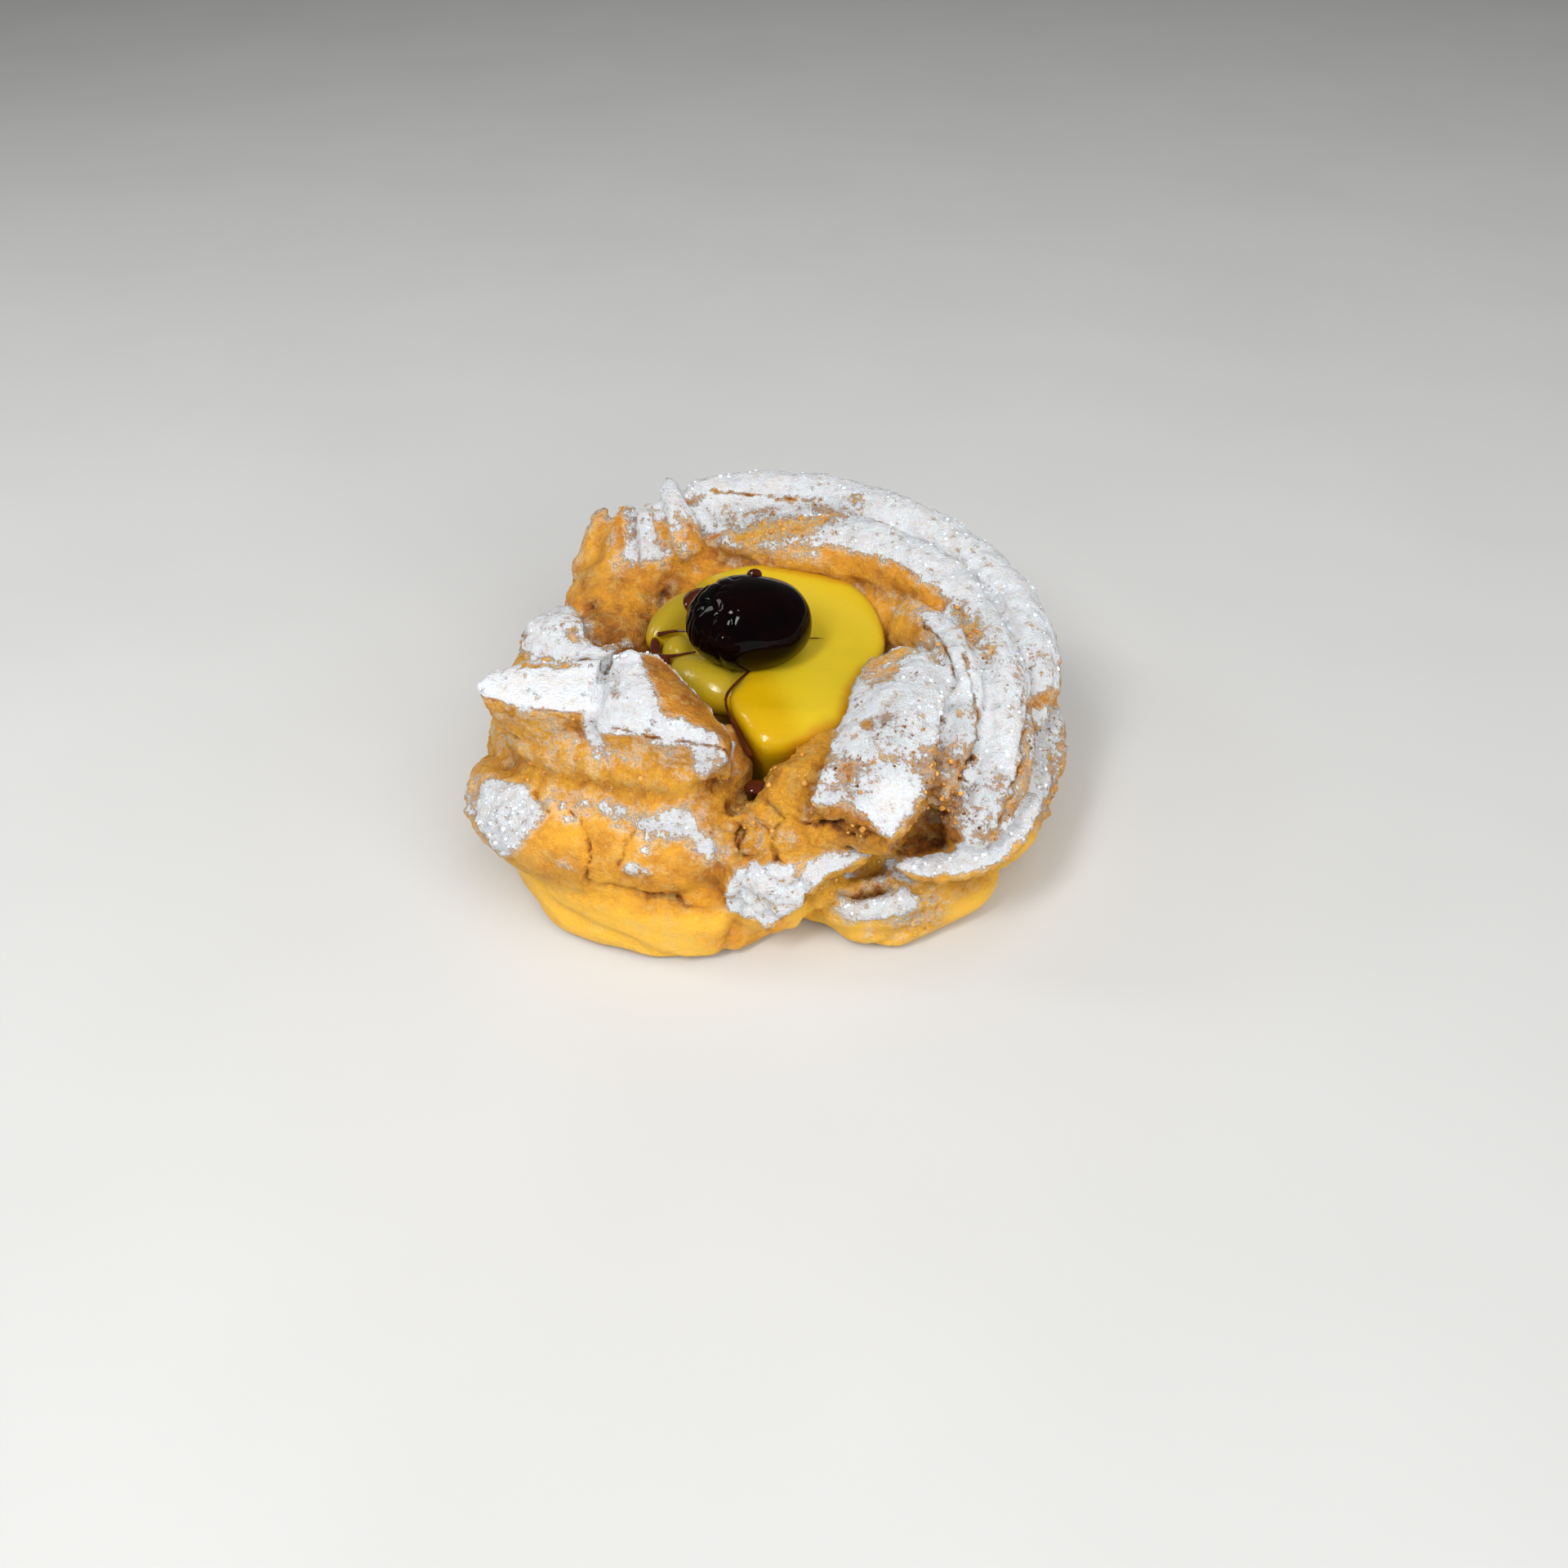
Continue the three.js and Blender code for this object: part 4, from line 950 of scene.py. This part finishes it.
relief += fields["clump"] * height * (np.abs(lumps(spots, size, 12)) - 0.2)
# crack lines: sugar is taken out of them, and the crust is painted darker there as painted shade in the crack
crackShadeLine = np.zeros(len(spots))
size, start, end = surface["crackGap"]
gaps = ease(lumps(spots, size, 10), start, end)
for crack in creases + cracks:
    distance, inside = distanceTo(pixels, crack["line"], False)
    share = np.exp(-(distance * surface["mmPerPixel"] / crack["wide"]) ** 2) * seen
    relief -= crack["deep"] * share
    if crack in cracks:
        crackShadeLine = np.maximum(crackShadeLine, share * gaps)
spots += normalsOf(crust) * relief[:, None]
spots[:, 2] = np.maximum(spots[:, 2], 0)
moveSpots(crust, spots)

steep = 1 - ease(spread(normalsOf(crust), edges, 1)[:, 2], -0.1, 0.75)
sugar = sugar - surface["slide"] * steep * ease(sugar, 0.1, 0.4)
# how hollow the crust lies, for painted shade: the dough's material paints the crust darker, and its sugar less white,
# in hollows
deep = spread(spots, edges, surface["cavityShadeRounds"])
hollow = ease(((deep - spots) * normalsOf(crust)).sum(1), 0.0, 1.6)
# crack lines get no sugar and a darker crust, which is painted shade
keep(crust, "sugar", sugar * (1 - crackShadeLine))
keep(crust, "bake", bake + 0.35 * crackShadeLine)
keep(crust, "hollow", hollow)
keep(crust, "rough", rough)
keep(crust, "wet", wet)
floorGap, reach, top, front = surface["unseen"]
under = (np.hypot(spots[:, 0], spots[:, 1]) < reach) & (spots[:, 2] < top) & (spots[:, 1] > front)
hidden = (spots[:, 2] < floorGap) | under
fine = crust.vertex_groups.new(name="fine")
fine.add(np.flatnonzero(~hidden).tolist(), 1.0, 'REPLACE')
faces = sum(len(face.vertices) - 2 for face in crust.data.polygons)
applyModifier(crust, 'DECIMATE', ratio=min(1, dough["triangles"] / faces), vertex_group="fine",
              vertex_group_factor=dough["fineFactor"])
crust.vertex_groups.clear()
shadeSmooth(crust)
print("dough finished:", len(crust.data.polygons), "faces")


def doughFinish():
    finish = Finish("bakedDough", Subsurface_Weight=0.16, Subsurface_Radius=(1.4, 0.7, 0.2),
                    Subsurface_Scale=1.0 * mm, Specular_IOR_Level=0.3)
    place = finish.place()
    sugar, bake, hollow, rough, wet = (finish.stored(name) for name in ("sugar", "bake", "hollow", "rough", "wet"))
    powder = finish.grain(place, 0.35, 3, 0.65)
    clot = finish.grain(place, 0.9, 4, 0.7)
    drift = finish.grain(place, 2.6, 4, 0.68)
    patchy = finish.grain(place, 5.0, 4, 0.6)
    crumb = finish.grain(place, 0.7, 5, 0.75)
    fleck = finish.cells(place, 1.2)
    bare = (finish.steps(fleck + (powder - 0.5) * 0.8, 0.12, 0.3, 1.0, 0.0) * finish.steps(patchy, 0.44, 0.6)
            * finish.steps(drift, 0.36, 0.5) * finish.steps(sugar, 0.25, 0.5))
    pit = finish.cells(place, 2.1)
    pitted = finish.steps(pit + (powder - 0.5) * 0.9, 0.08, 0.24, 1.0, 0.0) * finish.steps(patchy, 0.4, 0.56)
    speck = finish.cells(place, 0.8)
    dusted = finish.steps(speck + (crumb - 0.5) * 0.4, 0.1, 0.24, 1.0, 0.0) * finish.steps(clot, 0.5, 0.62) * rough
    ragged = (drift - 0.5) * 1.6 + (clot - 0.5) * 0.9 + (powder - 0.5) * 0.9
    # the hollow measure thins the white in hollows, as painted shade
    level = (sugar + ragged * finish.steps(sugar, 0.04, 0.2) - hollow * 0.12 - bare * (0.2 + rough * 0.6)
             - pitted * 0.42)
    cover = finish.steps(level, 0.38, 0.6)
    thick = finish.steps(drift * 0.6 + clot * 0.4, 0.42, 0.56)
    veil = finish.steps(level, 0.04, 0.4) * 0.42 + dusted * 0.3
    white = finish.node('Math', {"operation": 'MAXIMUM'}, {0: cover * (0.84 + thick * 0.15), 1: veil})
    # the hollow measure darkens the crust's tone in hollows, as painted shade
    tone = (bake - 0.04 + (patchy - 0.5) * 0.95 + (crumb - 0.5) * (0.4 + rough * 0.8) + (drift - 0.5) * 0.5
            + hollow * 0.42 + bare * 0.35)
    # the first, palest stop is the foot's yellow, partly painted warm light bounced up from below
    skin = finish.ramp(tone, [
        (0.0, (0.94, 0.52, 0.055)), (0.22, (0.85, 0.42, 0.042)), (0.45, (0.68, 0.295, 0.028)),
        (0.65, (0.44, 0.16, 0.022)), (0.85, (0.23, 0.07, 0.011)), (1.0, (0.10, 0.028, 0.005))])
    skin = finish.blend(finish.steps(drift, 0.5, 0.64) * 0.4, skin, (0.83, 0.56, 0.16, 1))
    # the sugar's colour: its bluish greys between clots are painted fine shade, and thin sugar takes a warm tone from
    # the crust below
    dustAndShade = finish.ramp(clot + (powder - 0.5) * 0.5, [(0.25, (0.80, 0.825, 0.87)), (0.45, (0.89, 0.93, 0.975))])
    dustAndShade = finish.blend(cover, (0.97, 0.86, 0.70, 1), dustAndShade)
    colour = finish.blend(white, skin, dustAndShade)
    height = (cover * 0.3 - pitted * cover * 0.5 + powder * (0.25 + cover * 0.2)
              + clot * (0.25 + cover * (0.25 + rough * 0.5)) + crumb * (0.25 + rough))
    gloss = 0.48 + cover * 0.4 - wet * 0.25 - (clot - 0.5) * 0.6
    return finish.finishWith(Base_Color=colour, Roughness=gloss, Normal=finish.bump(height, 0.9))


dress(crust, doughFinish())
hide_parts("pastry")


scatter = {
    "sugar": {"count": 600, "size": (0.12, 0.42), "flat": 0.6},
    "crumb": {"count": 300, "size": (0.2, 0.55), "flat": 0.8},
    "smallness": 3,      # the higher, the more of them are small
    "turn": 6.28,
    "lift": 0.1,         # how far a lump's middle stands off the crust, in its own radius
}


def makeGrain():
    # one small rough lump, 1 mm in radius
    bpy.ops.mesh.primitive_cube_add(size=2 * mm)
    grain = bpy.context.object
    editWhole()
    bpy.ops.mesh.subdivide(number_cuts=1)
    bpy.ops.object.mode_set(mode='OBJECT')
    spots = spotsOf(grain)
    spots /= np.linalg.norm(spots, axis=1)[:, None]
    moveSpots(grain, spots * (1 + 0.35 * lumps(spots, 0.8, 13))[:, None])
    return grain


def scattered(name, chances, seed):
    # lumps strewn over the crust, more of them where the chances are higher
    choice = np.random.default_rng(seed)
    facts = scatter[name]
    count = facts["count"]
    grain = makeGrain()
    shape = spotsOf(grain)
    faces = np.array([face.vertices[:] for face in grain.data.polygons])
    places, normals = spotsOf(crust), normalsOf(crust)
    picked = choice.choice(len(places), count, p=chances / chances.sum())
    small, big = facts["size"]
    sizes = small + (big - small) * choice.random(count) ** scatter["smallness"]
    spots = np.empty((count, len(shape), 3))
    for number, index in enumerate(picked):
        turn = Euler(choice.random(3) * scatter["turn"]).to_matrix()
        lump = shape @ np.array(turn).T * sizes[number]
        along = lump @ normals[index]
        lump -= np.outer(along * (1 - facts["flat"]), normals[index])
        spots[number] = places[index] + lump + normals[index] * sizes[number] * scatter["lift"]
    grain.name = name + "Lumps"
    steps = np.arange(count)[:, None, None] * len(shape)
    grain.data.clear_geometry()
    grain.data.from_pydata((spots.reshape(-1, 3) * mm).tolist(), [], (faces + steps).reshape(-1, 4).tolist())
    shadeSmooth(grain)
    return grain


def sugarFinish():
    finish = Finish("looseSugar", Roughness=1.0, Specular_IOR_Level=0.1, Subsurface_Weight=0.15,
                    Subsurface_Scale=0.6 * mm)
    powder = finish.grain(finish.place(), 0.3, 3, 0.65)
    # its bluish greys are painted fine shade between the grains
    colour = finish.ramp(powder, [(0.3, (0.80, 0.825, 0.87)), (0.6, (0.86, 0.90, 0.945))])
    return finish.finishWith(Base_Color=colour, Normal=finish.bump(powder, 0.2))


def crumbFinish():
    finish = Finish("bakedCrumb", Roughness=0.6)
    tint = finish.grain(finish.place(), 1.5, 3)
    colour = finish.ramp(tint, [(0.3, (0.80, 0.42, 0.09)), (0.6, (0.50, 0.20, 0.03))])
    return finish.finishWith(Base_Color=colour, Normal=finish.bump(tint, 0.3))


def fieldOf(name):
    return rowsOf(crust.data.attributes[name].data, "value", 1, np.float32)[:, 0].astype(float)


sugarHere, roughHere, steepHere = fieldOf("sugar"), fieldOf("rough"), normalsOf(crust)[:, 2]
looseSugar = scattered("sugar", ease(sugarHere, 0.75, 0.95) * (0.02 + roughHere ** 4) * ease(steepHere, 0, 0.5), 31)
dress(looseSugar, sugarFinish())
looseCrumbs = scattered("crumb", (1 - ease(sugarHere, 0.3, 0.6)) * ease(roughHere, 0.6, 0.9) + 1e-6, 32)
dress(looseCrumbs, crumbFinish())
print("loose sugar and crumbs strewn")


# the outline is in mm from the centre; lobes are (x, y, top, (radius x, radius y, radius z), turn)
custard = {
    "top": 33.2,
    "bottom": 13,
    "voxel": 0.45,
    "edgeRounds": 22,         # how far the pool's edge is rounded
    "droop": (-22, 13, 4.5),    # the front sinks from this y on, over this length, by this much
    "lobeRounds": 3,
    "skirt": 0.8,             # how wide the pool's floor is beside its top
    "wave": (5, 0.12),
    "rimGap": (0.2, 2.2),     # the darker rim fades out between these distances from the crust
    "lobeShadeEdge": (0.8, 1.1),
    "outline": [
        (-13.5, 14), (-9.6, 18), (-3, 20.6), (3.4, 21.4), (9.6, 20), (14.8, 16), (18.4, 10), (20.3, 3), (20.6, -4),
        (18.6, -9.4), (16.2, -14.6), (15.2, -20), (12.2, -25.2), (8.0, -27.4), (4.2, -28.2), (1.6, -29.4), (-1.0, -29),
        (-3.2, -25.8), (-5.6, -21.2), (-6.4, -17.6), (-4.4, -14.4), (-5.5, -9), (-11, -5), (-13, 2), (-13.8, 8)],
    "lobes": [
        (-15.4, 6.8, 33.5, (3.5, 8.4, 4.2), -32),
        (-14.7, -3.2, 32.7, (2.9, 3.4, 3.4), 20),
        (-9.5, -10.8, 33.3, (4.5, 8.0, 4.4), 50),
        (-10.6, -1.5, 31.2, (4.6, 9.5, 5.0), 10),
    ],
    "bodyTint": (0.51, 0.305, 0.0025),
    "paleTint": (0.58, 0.415, 0.015),
    # the painted shadow colour of the lobes beside the left ridge
    "rimTint": (0.48, 0.19, 0.004),
    "lobeShadeTint": (0.34, 0.25, 0.016),
}


def makeCustard():
    outline = np.array(custard["outline"])
    bpy.ops.mesh.primitive_circle_add(vertices=len(outline), radius=mm, fill_type='NGON')
    pool = bpy.context.object
    moveSpots(pool, np.column_stack([outline, np.full(len(outline), custard["top"])]))
    editWhole()
    deep = custard["top"] - custard["bottom"]
    bpy.ops.mesh.extrude_region_move(TRANSFORM_OT_translate={"value": (0, 0, -deep * mm)})
    bpy.ops.transform.resize(value=(custard["skirt"], custard["skirt"], 1))
    bpy.ops.mesh.select_all(action='SELECT')
    bpy.ops.mesh.normals_make_consistent(inside=False)
    bpy.ops.object.mode_set(mode='OBJECT')
    remesh(pool, dough["coarseVoxel"])
    moveSpots(pool, spread(spotsOf(pool), neighboursOf(pool), custard["edgeRounds"]))
    lobes = [ellipsoid((x, y, top - half[2]), half, turn) for x, y, top, half, turn in custard["lobes"]]
    piece = joinAll([pool] + lobes, "custardPool")
    remesh(piece, custard["voxel"])
    spots = spread(spotsOf(piece), neighboursOf(piece), custard["lobeRounds"])
    size, height = custard["wave"]
    spots[:, 2] += height * lumps(spots, size, 11)
    start, length, drop = custard["droop"]
    spots[:, 2] -= drop * np.clip((start - spots[:, 1]) / length, 0, 1) ** 1.5
    moveSpots(piece, spots)
    wall = BVHTree.FromObject(crust, bpy.context.evaluated_depsgraph_get())
    gap = np.array([wall.find_nearest(Vector(spot * mm))[3] for spot in spots]) / mm
    keep(piece, "rim", 1 - ease(gap, *custard["rimGap"]))
    # painted shadow on the custard lobes beside the left ridge: a mask for their darker, olive tint
    inLobeShade = np.zeros(len(spots))
    for x, y, top, half, turn in custard["lobes"]:
        angle = math.radians(turn)
        along = (spots[:, 0] - x) * math.cos(angle) + (spots[:, 1] - y) * math.sin(angle)
        across = (spots[:, 1] - y) * math.cos(angle) - (spots[:, 0] - x) * math.sin(angle)
        off = np.hypot(along / half[0], across / half[1])
        inLobeShade = np.maximum(inLobeShade, 1 - ease(off, *custard["lobeShadeEdge"]))
    keep(piece, "lobe", inLobeShade)
    keep(piece, "front", ease(-0.35 * spots[:, 1] - spots[:, 0], -1, 8))
    shadeSmooth(piece)
    return piece


def custardFinish():
    finish = Finish("smoothCustard", Roughness=0.2, Subsurface_Weight=0.3, Subsurface_Radius=(2.5, 1.5, 0.2),
                    Subsurface_Scale=1.2 * mm, Specular_IOR_Level=0.4)
    place = finish.place()
    cloud = finish.grain(place, 6, 2)
    fine = finish.grain(place, 0.8, 2)
    deep = finish.stored("front") + (cloud - 0.5) * 0.5
    colour = finish.blend(finish.steps(deep, 0, 1), (*custard["paleTint"], 1), (*custard["bodyTint"], 1))
    # painted shadow: the lobes beside the left ridge take a darker, olive tint
    colour = finish.blend(finish.stored("lobe") * 0.8, colour, (*custard["lobeShadeTint"], 1))
    colour = finish.blend(finish.stored("rim") * 0.75, colour, (*custard["rimTint"], 1))
    return finish.finishWith(Base_Color=colour, Normal=finish.bump(fine, 0.05))


pool = makeCustard()
dress(pool, custardFinish())
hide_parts("custard")
print("custard poured:", len(pool.data.polygons), "faces")


cherry = {
    "centre": (-2.7, -7.0, 38.7),
    "half": (10.3, 8.5, 7.3),
    "dent": (5.5, 0.4),       # size and depth of its shallow dents, in mm
    "fold": (2.4, 3.2, 0.35),   # the creased left side: width, upright stretch and depth of its folds
    "notch": (-0.6, -1.0, 43.7, 1.0, 0.8),   # place, size and depth of the dent beside the stalk scar
}


def makeCherry():
    centre, half = np.array(cherry["centre"]), np.array(cherry["half"])
    bpy.ops.mesh.primitive_ico_sphere_add(subdivisions=7, radius=mm, location=tuple(centre * mm), scale=tuple(half))
    piece = bpy.context.object
    piece.name = "darkCherry"
    bpy.ops.object.transform_apply(location=True, rotation=True, scale=True)
    spots = spotsOf(piece)
    normals = normalsOf(piece)
    size, depth = cherry["dent"]
    relief = depth * lumps(spots, size, 6)
    size, stretch, depth = cherry["fold"]
    fold = 1 - np.abs(lumps(spots * (1, 1, 1 / stretch), size, 7)) * 3
    leftSide = ease(-(spots[:, 0] - centre[0]) / half[0], 0.0, 0.5)
    relief -= depth * leftSide * np.maximum(fold, 0) ** 2
    x, y, z, size, depth = cherry["notch"]
    relief -= depth * np.exp(-((spots - (x, y, z)) ** 2).sum(1) / size ** 2)
    moveSpots(piece, spots + normals * relief[:, None])
    shadeSmooth(piece)
    return piece


def cherryFinish():
    finish = Finish("cherrySkin", Roughness=0.07, Specular_IOR_Level=0.12)
    cloud = finish.grain(finish.place(), 4, 2)
    return finish.finishWith(
        Base_Color=finish.ramp(cloud, [(0.35, (0.0012, 0.0003, 0.0005)), (0.75, (0.004, 0.0006, 0.0008))]))


berry = makeCherry()
dress(berry, cherryFinish())
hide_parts("cherry")
print("cherry placed")


# runs are lists of (x, y, z, half width) in mm; a drop is its middle, its three radii and its turn
syrup = {
    "runs": [
        [(-1.6, -11.6, 33.2, 0.2), (-3.2, -13.2, 33.0, 0.25), (-4.8, -15.2, 32.6, 0.28), (-6.2, -17.4, 32.2, 0.3),
         (-6.2, -20.0, 32.0, 0.25), (-5.0, -23.4, 31.5, 0.3), (-3.4, -26.8, 30.6, 0.35), (-2.2, -29.4, 29.6, 0.5)],
        [(-11.5, -6.0, 32.1, 0.2), (-13.4, -6.3, 31.9, 0.25), (-15.2, -6.6, 31.7, 0.3), (-17.0, -6.6, 31.5, 0.45)],
        [(-12.0, -0.2, 32.0, 0.2), (-14.2, 0.2, 31.9, 0.25), (-16.6, 0.2, 31.7, 0.3), (-18.4, -0.4, 31.5, 0.45)],
        [(6.8, -4.2, 33.5, 0.12), (8.4, -4.0, 33.5, 0.18), (9.8, -4.1, 33.4, 0.1)],
    ],
    "drops": [
        ((-12.0, 8.2, 32.6), (2.4, 3.4, 1.6), -30),
        ((-1.2, -32.2, 25.9), (2.0, 1.5, 0.7), 12),
        ((-18.6, -2.4, 30.3), (0.9, 3.0, 0.7), 8),
        ((-17.2, -6.8, 30.9), (1.2, 2.0, 0.9), 40),
        ((-1.8, -1.6, 44.2), (1.3, 0.9, 1.1), 10),
    ],
    "voxel": 0.15,
    "rounds": 2,
}


def makeSyrup():
    pieces = []
    for run in syrup["runs"]:
        bpy.ops.curve.primitive_nurbs_path_add()
        tube = bpy.context.object
        tube.data.splines.clear()
        line = tube.data.splines.new('NURBS')
        line.points.add(len(run) - 1)
        for point, (x, y, z, half) in zip(line.points, run):
            point.co = (x * mm, y * mm, z * mm, 1)
            point.radius = half
        line.order_u = 3
        line.use_endpoint_u = True
        line.resolution_u = 8
        tube.data.dimensions = '3D'
        tube.data.bevel_depth = mm
        tube.data.bevel_resolution = 3
        tube.data.use_fill_caps = True
        pick(tube)
        bpy.ops.object.convert(target='MESH')
        pieces.append(bpy.context.object)
    pieces += [ellipsoid(spot, half, turn) for spot, half, turn in syrup["drops"]]
    piece = joinAll(pieces, "cherrySyrup")
    remesh(piece, syrup["voxel"])
    moveSpots(piece, spread(spotsOf(piece), neighboursOf(piece), syrup["rounds"]))
    shadeSmooth(piece)
    return piece


def syrupFinish():
    finish = Finish("redBrownSyrup", Roughness=0.06, Specular_IOR_Level=0.5)
    cloud = finish.grain(finish.place(), 2, 2)
    return finish.finishWith(
        Base_Color=finish.ramp(cloud, [(0.3, (0.03, 0.0035, 0.0015)), (0.7, (0.09, 0.014, 0.004))]))


drips = makeSyrup()
dress(drips, syrupFinish())
print("syrup run out:", len(drips.data.polygons), "faces")
